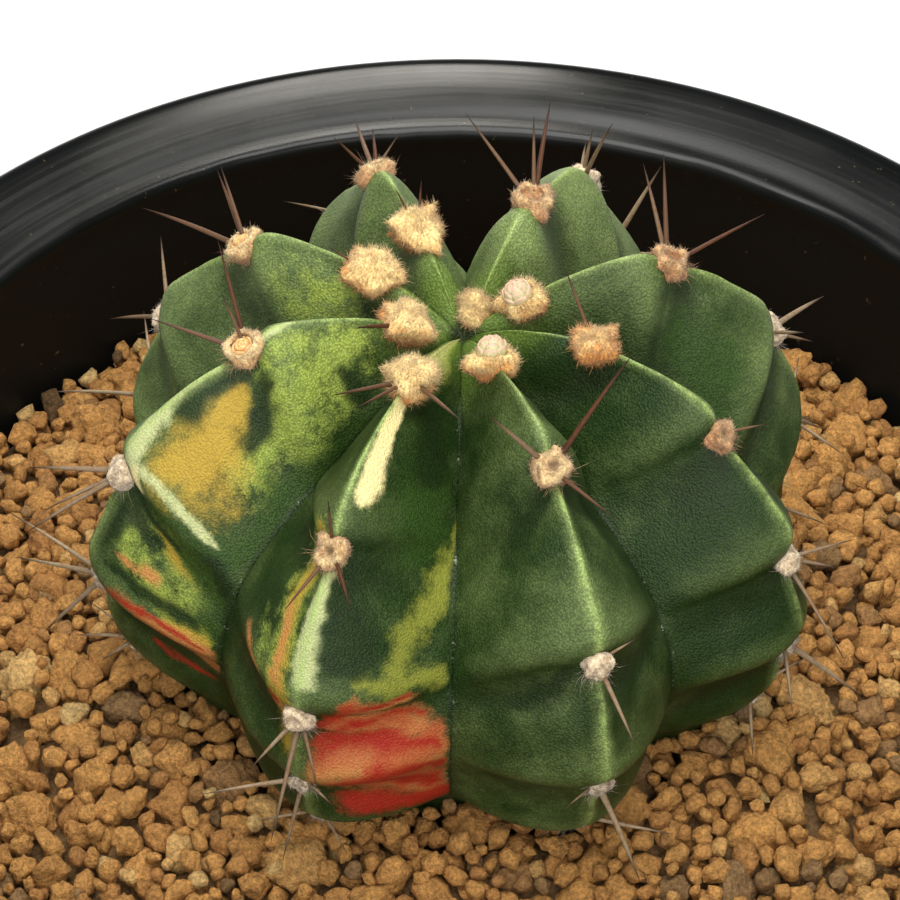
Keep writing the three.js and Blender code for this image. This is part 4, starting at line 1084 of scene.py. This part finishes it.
def needles(roots, directions, lengths):
    """Thin three-sided needles in two lengths, closed at the root and drawn to a point."""
    count = len(roots)
    side = unit(np.cross(directions, wool_random.normal(size=(count, 3))))
    other = np.cross(directions, side)
    curl = wool_random.normal(0, HAIR_CURL, (2, count, 1))
    bend = side * curl[0] + other * curl[1]
    corners = [side * math.cos(a) + other * math.sin(a) for a in (0, 2 * math.pi / 3, 4 * math.pi / 3)]
    reach = lengths[:, None]
    middle_of = roots + directions * reach * 0.55 + bend * reach * 0.3
    rings = [centre + HAIR_RADIUS * width * corner
             for centre, width in ((roots, 1), (middle_of, 0.75)) for corner in corners]
    return np.stack(rings + [roots + (directions + bend) * reach], axis=1)


def fluff(roots, directions, lengths):
    """Short straight hairs of three sides, drawn to a point."""
    side = unit(np.cross(directions, wool_random.normal(size=directions.shape)))
    other = np.cross(directions, side)
    ring = [roots + FLUFF_RADIUS * (side * math.cos(a) + other * math.sin(a)) for a in (0, 2.1, 4.2)]
    return np.stack(ring + [roots + directions * lengths[:, None]], axis=1)


def rooted(rib, order, points, heights, count):
    """Where hairs stand on a cushion, which way they lean in their locks, and how far up they are."""
    place, outward, _, _ = areole_place(rib, order)
    row = (wool_random.beta(1.6, 1.0, count) * (CUSHION_ROWS - 1)).astype(int)
    corner = 1 + row * CUSHION_SIDES + wool_random.integers(CUSHION_SIDES, size=count)
    share = wool_random.random(count)[:, None]
    roots = points[corner] * (1 - share) + points[corner + CUSHION_SIDES] * share
    rise = heights[corner] + wool_random.normal(0, 0.12, count)
    locks = np.array([noise.noise_vector(Vector(root / 0.45)) for root in roots])
    ways = unit(roots - place) + HAIR_LOCKS * locks + wool_random.normal(0, HAIR_SPREAD, (count, 3))
    return roots, ways + outward * 0.1, rise


def tuft(rib, order, points, heights):
    """The curled hairs and the short fluff of one areole, with how far up it each one stands."""
    kind = cushion_kind(rib, order)
    place, outward, uphill, sideways = areole_place(rib, order)
    roots, ways, rise = rooted(rib, order, points, heights, HAIRS[kind])
    lengths = wool_random.uniform(*HAIR_LENGTHS[kind], len(roots))
    if order in BEARD:
        extra = BEARD[order]
        turn = wool_random.normal(0, 0.7, extra)[:, None]
        down = -uphill * np.cos(turn) + sideways * np.sin(turn)
        roots = np.concatenate([roots, place + down * 0.8 * felt_radius(rib, order) + outward * 0.35])
        ways = np.concatenate([ways, down + wool_random.normal(0, 0.3, (extra, 3)) + outward * 0.25])
        lengths = np.concatenate([lengths, wool_random.uniform(*BEARD_LENGTH, extra)])
        rise = np.concatenate([rise, np.full(extra, -0.4)])
    ways = unit(ways)
    short_roots, short_ways, short_rise = rooted(rib, order, points, heights, FLUFF[kind])
    short_ways = unit(short_ways)
    short_lengths = FLUFF_SHARE * wool_random.uniform(*HAIR_LENGTHS[kind], len(short_roots))
    return (needles(roots - ways * 0.1, ways, lengths), np.repeat(rise, 7),
            fluff(short_roots - short_ways * 0.08, short_ways, short_lengths), np.repeat(short_rise, 4))


# %% Wool felt
WOOL_COLOURS = {"tan": "#de9648", "cream": "#fddc98", "white": "#e6e2d4", "brown": "#a0642a", "dirt": "#7a5a3a"}


def wool_felt(name, fineness):
    """Felted plant hair: tan below, cream at the rim, white with age, and dull all over."""
    m = new_material(name)
    colours = {key: linear(value) for key, value in WOOL_COLOURS.items()}
    place = add(m, "TexCoord").outputs["Object"]
    fibres = noise_at(m, place, fineness, 3, 0.75)
    lumps = noise_at(m, place, 0.9, 2)
    rise = calculated(m, "ADD", attribute(m, "rise"), calculated(m, "MULTIPLY",
                      calculated(m, "SUBTRACT", lumps, 0.5), 1.5))
    young = mixed(m, ranged(m, rise, -0.2, 0.9), colours["tan"], colours["cream"])
    old = mixed(m, ranged(m, rise, 0.1, 0.75), colours["white"], mixed(m, 0.25, colours["white"], colours["tan"]))
    colour = mixed(m, attribute(m, "age"), young, old)
    browned = calculated(m, "MULTIPLY", attribute(m, "heart"), ranged(m, rise, 0.55, 0.95, 0.8, 0.25))
    browned = calculated(m, "MULTIPLY", browned, ranged(m, noise_at(m, place, 0.4, 3), 0.35, 0.6, 0.45, 1.0))
    colour = mixed(m, browned, colour, colours["brown"])
    dirt = calculated(m, "MULTIPLY", attribute(m, "age"), ranged(m, noise_at(m, place, 0.4, 3), 0.44, 0.62))
    colour = mixed(m, calculated(m, "MULTIPLY", dirt, 0.75), colour, colours["dirt"])
    shade = ranged(m, fibres, 0.3, 0.7, 0.62, 1.2)
    colour = mixed(m, 1.0, colour, add(m, "CombineXYZ", {0: shade, 1: shade, 2: shade}).outputs[0],
                   "MULTIPLY")
    bump = add(m, "Bump", {"Height": fibres, "Strength": 1.0, "Distance": 0.16 * MM})
    surface = add(m, "BsdfPrincipled", {
        "Base Color": colour, "Roughness": 0.9, "IOR": 1.45, "Specular IOR Level": 0.2,
        "Subsurface Weight": 0.2, "Subsurface Radius": (1.0, 0.9, 0.7), "Subsurface Scale": 0.4 * MM,
        "Sheen Weight": 0.2, "Sheen Roughness": 0.5, "Normal": bump.outputs[0]})
    finished(m, surface)
    return m


# %% Make the wool
WOOL_AGE = [0.0, 0.22, 0.7, 0.85, 0.9]
TANNED = {("G", 1): 0.5, ("H", 1): 0.35, ("A", 1): 0.3, ("F", 1): 0.5, ("D", 1): 0.1, ("F", 0): 0.45, ("D", 0): -0.25}
BROWNED = {"young": 0.0, "flowered": 0.6, "old": 0.0}
felt_points, felt_faces, felt_numbers = [], [], {"rise": [], "age": [], "heart": []}
WOOL_STAGES = ["young", "flowered", "old"]
wool = {stage: ([], [], [], []) for stage in WOOL_STAGES}
for rib in RIB_NAMES:
    for order in range(5):
        points, heights = cushion(rib, order)
        felt_faces += round_faces(CUSHION_ROWS, CUSHION_SIDES, sum(map(len, felt_points)))
        felt_points.append(points)
        from_middle = np.r_[0, np.repeat(np.arange(CUSHION_ROWS), CUSHION_SIDES), CUSHION_ROWS]
        hollow = cushion_kind(rib, order) in ("drum", "cup")
        tanned = TANNED.get((rib, order), 0.0)
        felt_numbers["rise"].append(heights - tanned)
        felt_numbers["age"].append(np.full(len(points), WOOL_AGE[order]))
        stage = WOOL_STAGES[min(order, 2)]
        felt_numbers["heart"].append(np.where((from_middle < 6) & hollow, 1.0, BROWNED[stage]))
        hairs, hair_rise, short_hairs, short_rise = tuft(rib, order, points, heights)
        stage_points, stage_faces, stage_rise, stage_age = wool[stage]
        for made, rise, hair_faces in ((hairs, hair_rise, HAIR_FACES), (short_hairs, short_rise, FLUFF_FACES)):
            first = sum(map(len, stage_points)) + np.arange(len(made)) * made.shape[1]
            stage_faces.append((first[:, None, None] + hair_faces).reshape(-1, 3))
            stage_points.append(made.reshape(-1, 3))
            stage_rise.append(rise - tanned)
            stage_age.append(np.full(len(rise), WOOL_AGE[order]))
felt = mesh_object("areole_felt", np.concatenate(felt_points), felt_faces, wool_felt("wool_felt", 0.16),
                   {name: np.concatenate(values) for name, values in felt_numbers.items()})
hair_material = wool_felt("wool_hair", 0.14)
wool_pieces = [felt]
for name, (stage_points, stage_faces, stage_rise, stage_age) in wool.items():
    age = np.concatenate(stage_age)
    wool_pieces.append(mesh_object("areole_hairs_" + name, np.concatenate(stage_points),
                                   np.concatenate(stage_faces), hair_material,
                                   {"rise": np.concatenate(stage_rise), "age": age,
                                    "heart": np.full(len(age), BROWNED[name])}))
for piece in wool_pieces:
    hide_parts("cactus")

# %% [markdown]
# ## Buds
# Two young areoles push out a flower bud, a small globe of overlapping scales, green with pink tips.
# Two older cups hold the dried heart of an earlier one. Both are the same thing at different ages, so
# one function lays pointed scales in rings over a globe, and the colour tells the age.

# %% Bud scales
BUD_RINGS = [(6, 0.2, 0.0), (5, 0.55, 0.5), (4, 0.88, 0.0), (3, 1.14, 0.5)]
SCALE_ROWS = 6
SCALE_COLUMNS = 5


def bud_scale(centre, axes, size, tilt, turn):
    """One scale: a pointed leaf that hugs the globe, thick enough to have two sides."""
    outward, uphill, sideways = axes
    points, along = [], []
    for skin_side in (1.0, 0.93):
        for row in np.linspace(0, 1, SCALE_ROWS):
            half_width = 0.62 * (1 - row ** 3.2) ** 0.6 + 0.03
            polar = tilt + row * 0.62 - 0.2
            for column in np.linspace(-1, 1, SCALE_COLUMNS):
                around = turn + column * half_width / max(math.cos(polar), 0.42)
                reach = size * (skin_side + 0.10 * row + 0.07 * (1 - column ** 2))
                flat = sideways * math.cos(around) + uphill * math.sin(around)
                points.append(centre + reach * (flat * math.cos(polar) + 1.15 * outward * math.sin(polar)))
                along.append(row)
    return points, along


def scale_faces(start):
    """The faces of a scale: its two sides, joined round the edge."""
    front = grid_faces(SCALE_ROWS, SCALE_COLUMNS, start, closed=False)
    back_start = start + SCALE_ROWS * SCALE_COLUMNS
    back = [face[::-1] for face in grid_faces(SCALE_ROWS, SCALE_COLUMNS, back_start, closed=False)]
    last = SCALE_COLUMNS - 1
    border = [(0, c) for c in range(SCALE_COLUMNS)] + [(r, last) for r in range(1, SCALE_ROWS)] \
        + [(SCALE_ROWS - 1, c) for c in range(last - 1, -1, -1)] + [(r, 0) for r in range(SCALE_ROWS - 2, 0, -1)]
    loop = [start + row * SCALE_COLUMNS + column for row, column in border]
    offset = SCALE_ROWS * SCALE_COLUMNS
    rim = [[a, b, b + offset, a + offset] for a, b in zip(loop, loop[1:] + loop[:1])]
    return front + back + rim


# %% Make the buds
BUD_COLOURS = {"green": "#bcbe86", "pink": "#d0a692", "dry": "#b06a2a", "dry_tip": "#e6ba7c"}
BUDS = [("E", 0, 0.8, 0.55, 0.0), ("G", 0, 0.8, 0.46, 0.0), ("B", 1, 0.8, 0.12, 1.0), ("C", 1, 0.78, 0.1, 1.0)]


def bud_scales():
    """The scales of a flower bud: green with pink tips, or dried to tan."""
    m = new_material("bud_scales")
    colours = {key: linear(value) for key, value in BUD_COLOURS.items()}
    place = add(m, "TexCoord").outputs["Object"]
    veins = noise_at(m, place, 0.25, 4, 0.7)
    along = calculated(m, "ADD", attribute(m, "along"), calculated(m, "MULTIPLY", veins, 0.3))
    fresh = mixed(m, ranged(m, along, 0.4, 1.15), colours["green"], colours["pink"])
    dried = mixed(m, ranged(m, along, 0.4, 1.1), colours["dry"], colours["dry_tip"])
    colour = mixed(m, attribute(m, "age"), fresh, dried)
    shade = ranged(m, veins, 0.25, 0.75, 0.8, 1.15)
    colour = mixed(m, 1.0, colour, add(m, "CombineXYZ", {0: shade, 1: shade, 2: shade}).outputs[0],
                   "MULTIPLY")
    bump = add(m, "Bump", {"Height": veins, "Strength": 0.4, "Distance": 0.05 * MM})
    surface = add(m, "BsdfPrincipled", {
        "Base Color": colour, "Roughness": 0.5, "IOR": 1.42, "Subsurface Weight": 0.15,
        "Subsurface Radius": (1.0, 0.6, 0.4), "Subsurface Scale": 0.6 * MM, "Normal": bump.outputs[0]})
    finished(m, surface)
    return m


bud_points, bud_faces, bud_numbers = [], [], {"along": [], "age": []}
for rib, order, size, rise, age in BUDS:
    place, outward, uphill, sideways = areole_place(rib, order)
    centre = place + outward * rise * pad_radius(AREOLE_STATIONS[rib][order])
    for count, tilt, offset in BUD_RINGS:
        for i in range(count):
            turn = 2 * math.pi * (i + offset) / count
            made, along = bud_scale(centre, (outward, uphill, sideways), size * (1.08 - 0.1 * tilt), tilt, turn)
            bud_faces += scale_faces(len(bud_points))
            bud_points += made
            bud_numbers["along"] += along
            bud_numbers["age"] += [age] * len(made)
buds = mesh_object("flower_buds", bud_points, bud_faces, bud_scales(), bud_numbers)
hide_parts("cactus")

# %% [markdown]
# ## Soil
# The soil is fired volcanic clay, sieved to grains of 1 to 4 mm. Nothing but real stones looks like
# it, so the top layers are laid stone by stone. Each stone tries several free places and takes the
# one where it comes to rest lowest, which fills the gaps as shaking does. A rigid-body simulation
# would do the same, but it takes longer and comes out different on another computer.

# %% A bed under the stones
BED_DEPTH = 1.8
BED_SEGMENTS = 96
SOIL_GAP = 0.2
hole_outline = [(radius + 0.5, POT_HEIGHT + height) for radius, height in CREST_PROFILE[-2:9:-1]]


def soil_bed_points():
    """The points of the bed: the plant's hole, the uneven top, the wall and the floor."""
    wall = [(wall_radius(h) - WALL - SOIL_GAP, h) for h in np.linspace(64.5, floor_top + FILLET, 14)]
    top = [(radius, None) for radius in np.linspace(18.8, wall[0][0] - 0.4, 26)]
    base = [(radius, floor_top + SOIL_GAP) for radius in np.linspace(wall[-1][0] - FILLET, 1.5, 10)]
    outline = hole_outline + top + wall + base
    points = [(PLANT_X, 0, hole_outline[0][1] - 3)]
    for i, (radius, height) in enumerate(outline):
        centre = PLANT_X if i < len(hole_outline) else 0
        for k in range(BED_SEGMENTS):
            angle = 2 * math.pi * k / BED_SEGMENTS
            x, y = centre + radius * math.cos(angle), radius * math.sin(angle)
            level = soil_level(x, y) - BED_DEPTH + 0.5 * noise.noise(Vector((x, y, 0)) / 1.4)
            points.append((x, y, level if height is None else min(height, level + 0.3)))
    points.append((0, 0, floor_top + SOIL_GAP))
    return points, len(outline)


bed_points, bed_rings = soil_bed_points()
print("bed:", len(bed_points), "points")

# %% Lay the stones
STONE_SEED = 5
STONE_SIZES = (0.42, 1.75)
CANDIDATES = 16
MISSES_ALLOWED = 90
STONES_AT_MOST = 3300
SKIRT_SHARE = 0.25
SKIRT_DEPTH = 1.0
soil_random = np.random.default_rng(STONE_SEED)


def resting_heights(spots, radius, stones):
    """Where the centre of a stone comes to rest over each spot, on the bed or on other stones."""
    floor = soil_level(spots[:, 0], spots[:, 1]) - BED_DEPTH + 0.35 * radius
    if not len(stones):
        return floor
    gap = (spots[:, None, 0] - stones[None, :, 0]) ** 2 + (spots[:, None, 1] - stones[None, :, 1]) ** 2
    reach = ((radius + stones[:, 3]) * 0.91) ** 2
    rest = np.where(gap < reach, stones[:, 2] + np.sqrt(np.maximum(reach - gap, 0)), -1e9)
    return np.maximum(floor, rest.max(1))


def skirt_reach():
    """How far the plant's skin is from its axis at the level of the soil, for every degree round."""
    reach = []
    for degree in range(360):
        way = Vector((math.cos(math.radians(degree)), math.sin(math.radians(degree)), 0))
        level = Vector((PLANT_X, 0, POT_HEIGHT - SOIL_DEPTH_AT_PLANT - SKIRT_DEPTH))
        hit = body_tree.ray_cast((level + way * RIM_RADIUS) * MM, -way)[0]
        reach.append((hit / MM - level).length)
    return np.array(reach)


def lay_stones():
    """Centres and radii of all stones."""
    stones = np.zeros((STONES_AT_MOST, 4))
    skirt = skirt_reach()
    count, misses = 0, 0
    while misses < MISSES_ALLOWED and count < STONES_AT_MOST:
        radius = float(np.clip(soil_random.lognormal(-0.16, 0.42), *STONE_SIZES))
        limit = wall_radius(67) - WALL - 0.15 - 0.85 * radius
        reach = limit * np.sqrt(soil_random.random(CANDIDATES))
        angle = soil_random.uniform(0, 2 * math.pi, CANDIDATES)
        spots = np.stack([reach * np.cos(angle), reach * np.sin(angle)], 1)
        if soil_random.random() < SKIRT_SHARE:
            reach = skirt[np.degrees(angle).astype(int)] + radius * soil_random.uniform(0.5, 2.5, CANDIDATES)
            spots = np.stack([PLANT_X + reach * np.cos(angle), reach * np.sin(angle)], 1)
        rest = resting_heights(spots, radius, stones[:count])
        over = rest + radius - soil_level(spots[:, 0], spots[:, 1])
        placed = False
        for k in np.argsort(over)[:5]:
            if over[k] > 0.6:
                break
            centre = np.array([*spots[k], rest[k]])
            near, normal, _, distance = body_tree.find_nearest(Vector(centre * MM))
            outside = (Vector(centre * MM) - near).dot(normal) > 0
            if outside and distance / MM > 0.6 * radius:
                stones[count] = [*centre, radius]
                placed = True
                break
        count += placed
        misses = 0 if placed else misses + 1
    return stones[:count]


stones = lay_stones()
print("stones:", len(stones), "mean width, mm:", round(2 * float(stones[:, 3].mean()), 2))

# %% [markdown]
# A stone is a globe cut by a dozen soft planes: that gives the blocky, rounded form of broken clay
# that has rubbed against its neighbours. A few such shapes are made once, roughened with noise, and
# each stone is one of them, turned and stretched in its own way. Stones that lie deep get a coarser
# copy, because only a chink of them shows.

# %% Stone shapes
STONE_SHAPES = 18


def globe(fineness):
    """The points and faces of a ball made of triangles."""
    mesh = bpy.data.meshes.new("globe")
    import bmesh
    ball = bmesh.new()
    bmesh.ops.create_icosphere(ball, subdivisions=fineness, radius=1)
    ball.to_mesh(mesh)
    ball.free()
    points = np.array([v.co for v in mesh.vertices])
    faces = np.array([p.vertices for p in mesh.polygons])
    bpy.data.meshes.remove(mesh)
    return points, faces


def stone_shape(points, planes, depths, seed):
    """A ball cut by soft planes and roughened."""
    facing = np.maximum(points @ planes.T, 0) / depths
    radius = (np.sum(facing ** 18, axis=1) + 1.25 ** -18) ** (-1 / 18)
    shaped = points * radius[:, None]
    for i, point in enumerate(shaped):
        rough = 0.20 * noise.noise(Vector(point * 1.7) + seed) + 0.19 * noise.noise(Vector(point * 4.2) + seed) \
            + 0.16 * noise.noise(Vector(point * 9.5) + seed)
        shaped[i] = point * (1 + rough)
    return shaped


globes = {fineness: globe(fineness) for fineness in (2, 3, 4)}
shapes = {fineness: [] for fineness in globes}
for _ in range(STONE_SHAPES):
    planes = soil_random.normal(size=(13, 3))
    planes /= np.linalg.norm(planes, axis=1)[:, None]
    depths = soil_random.uniform(0.64, 1.0, 13)
    seed = Vector(soil_random.uniform(0, 90, 3))
    for fineness, (points, _) in globes.items():
        shapes[fineness].append(stone_shape(points, planes, depths, seed))
print("stone shapes:", STONE_SHAPES, "with", [len(faces) for _, faces in globes.values()], "faces")

# %% [markdown]
# Fired clay is dull, dusty and full of pores. Its colour runs from straw to burnt orange between
# stones, and a few are grey or nearly black. Each stone carries its own tint as a number, and noise
# the size of the pores, a quarter of a millimetre, roughens both the colour and the surface.

# %% Fired clay
CLAY_COLOURS = {"tan": "#bf884c", "orange": "#d9a05a", "straw": "#ebc581", "grey": "#a58155", "black": "#715636"}
PORE_WIDTH = 0.26


def fired_clay():
    """Dull porous clay in a range of earth colours."""
    m = new_material("fired_clay")
    place = add(m, "TexCoord").outputs["Object"]
    tint = attribute(m, "tint")
    stops = [(0.0, "black"), (0.01, "grey"), (0.03, "grey"), (0.09, "tan"), (0.55, "orange"), (0.9, "orange"),
             (1.0, "straw")]
    ramp = add(m, "ValToRGB", {0: tint})
    elements = ramp.color_ramp.elements
    while len(elements) < len(stops):
        elements.new(0.5)
    for element, (position, name) in zip(elements, stops):
        element.position = position
        element.color = linear(CLAY_COLOURS[name])
    pores = noise_at(m, place, PORE_WIDTH, 5, 0.8)
    crumbs = noise_at(m, place, 0.6, 4, 0.7)
    stains = noise_at(m, place, 1.1, 3)
    shade = calculated(m, "MULTIPLY", ranged(m, pores, 0.3, 0.7, 0.5, 1.36),
                       ranged(m, stains, 0.3, 0.7, 0.84, 1.12))
    colour = mixed(m, 1.0, ramp.outputs[0], add(m, "CombineXYZ", {0: shade, 1: shade, 2: shade}).outputs[0],
                   "MULTIPLY")
    relief = calculated(m, "ADD", pores, calculated(m, "MULTIPLY", crumbs, 1.6))
    bump = add(m, "Bump", {"Height": relief, "Strength": 1.0, "Distance": 0.42 * MM})
    surface = add(m, "BsdfPrincipled", {"Base Color": colour, "Roughness": 0.95, "IOR": 1.5,
                                        "Specular IOR Level": 0.25, "Normal": bump.outputs[0]})
    finished(m, surface)
    return m


# %% Make the bed and the stones
clay = fired_clay()
bed = mesh_object("soil_bed", bed_points, round_faces(bed_rings, BED_SEGMENTS), clay,
                  {"tint": np.full(len(bed_points), 0.004)})
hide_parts("soil")


def random_turn():
    """A random rotation matrix."""
    frame_of, _ = np.linalg.qr(soil_random.normal(size=(3, 3)))
    return frame_of if np.linalg.det(frame_of) > 0 else -frame_of


def stone_fineness(stone):
    """How finely a stone is made: coarse in the depth, fine where it is large and on top."""
    x, y, z, radius = stone
    if z + radius < soil_level(x, y) - 0.3 or radius < 0.68:
        return 2
    return 4 if radius > 1.5 else 3


QUARTERS = ["front", "right", "back", "left"]
HIDDEN_DEPTH = 1.0
heaps = {name: ([], [], []) for name in QUARTERS}
for stone in stones:
    if stone[2] + stone[3] < soil_level(stone[0], stone[1]) - HIDDEN_DEPTH:
        continue
    fineness = stone_fineness(stone)
    form = shapes[fineness][soil_random.integers(STONE_SHAPES)]
    stretch = soil_random.uniform(0.82, 1.24, 3)
    points = (form * stretch) @ random_turn().T * stone[3] + stone[:3]
    quarter = QUARTERS[int(((math.degrees(math.atan2(stone[1], stone[0])) + 135) % 360) // 90)]
    heap_points, heap_faces, heap_tints = heaps[quarter]
    heap_faces.append(globes[fineness][1] + sum(map(len, heap_points)))
    heap_points.append(points)
    heap_tints.append(np.full(len(points), soil_random.random()))
for name, (heap_points, heap_faces, heap_tints) in heaps.items():
    heap = mesh_object("clay_stones_" + name, np.concatenate(heap_points), np.concatenate(heap_faces), clay,
                       {"tint": np.concatenate(heap_tints)})
    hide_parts("soil")

# %% [markdown]
# ## Stage and light
# The picture was taken in a white studio, with soft light from above and from behind. A pale floor,
# one large soft lamp over and behind the pot, a weaker one at the front left and a white sky give the
# same: soft shade in the grooves, light edges on the crests, and a bright band on the pot's lip.

# %% Floor
FLOOR_SIZE = 2400
floor_material = new_material("matt_paper")
grain_of_paper = noise_at(floor_material, add(floor_material, "TexCoord").outputs["Object"], 1.5, 3)
paper_colour = mixed(floor_material, grain_of_paper, linear("#f4f4f2"), linear("#f8f8f6"))
finished(floor_material, add(floor_material, "BsdfPrincipled", {"Base Color": paper_colour, "Roughness": 0.9}))
half = FLOOR_SIZE / 2
floor_mesh = bpy.data.meshes.new("floor")
floor_mesh.from_pydata([(x * MM, y * MM, 0) for x, y in ((-half, -half), (half, -half), (half, half), (-half, half))],
                       [], [(0, 1, 2, 3)])
floor_mesh.materials.append(floor_material)
floor = bpy.data.objects.new("floor", floor_mesh)
bpy.context.collection.objects.link(floor)
print("floor, mm:", FLOOR_SIZE)

# %% Lamps and sky


def soft_lamp(name, place, size, power, colour):
    """A square soft lamp that faces the plant."""
    light = bpy.data.lights.new(name, "AREA")
    light.size = size * MM
    light.energy = power
    light.color = linear(colour)[:3]
    lamp = bpy.data.objects.new(name, light)
    lamp.location = Vector(place) * MM
    lamp.rotation_euler = (TARGET - lamp.location).to_track_quat("-Z", "Y").to_euler()
    bpy.context.collection.objects.link(lamp)
    return lamp


soft_lamp("top_lamp", (-25, 20, 740), 470, 6.3, "#fffdfa")
soft_lamp("rim_lamp", (-6, 78, 126), 20, 0.03, "#fffaf0")
soft_lamp("front_lamp", (40, -490, 430), 560, 3.5, "#fffcf8")
sky = bpy.data.worlds.new("white_sky")
sky.use_nodes = True
sky.node_tree.nodes["Background"].inputs["Color"].default_value = linear("#f2f5f8")
sky.node_tree.nodes["Background"].inputs["Strength"].default_value = 0.22
bpy.context.scene.world = sky
bpy.context.scene.view_settings.view_transform = "Standard"
print("lamps: 3")
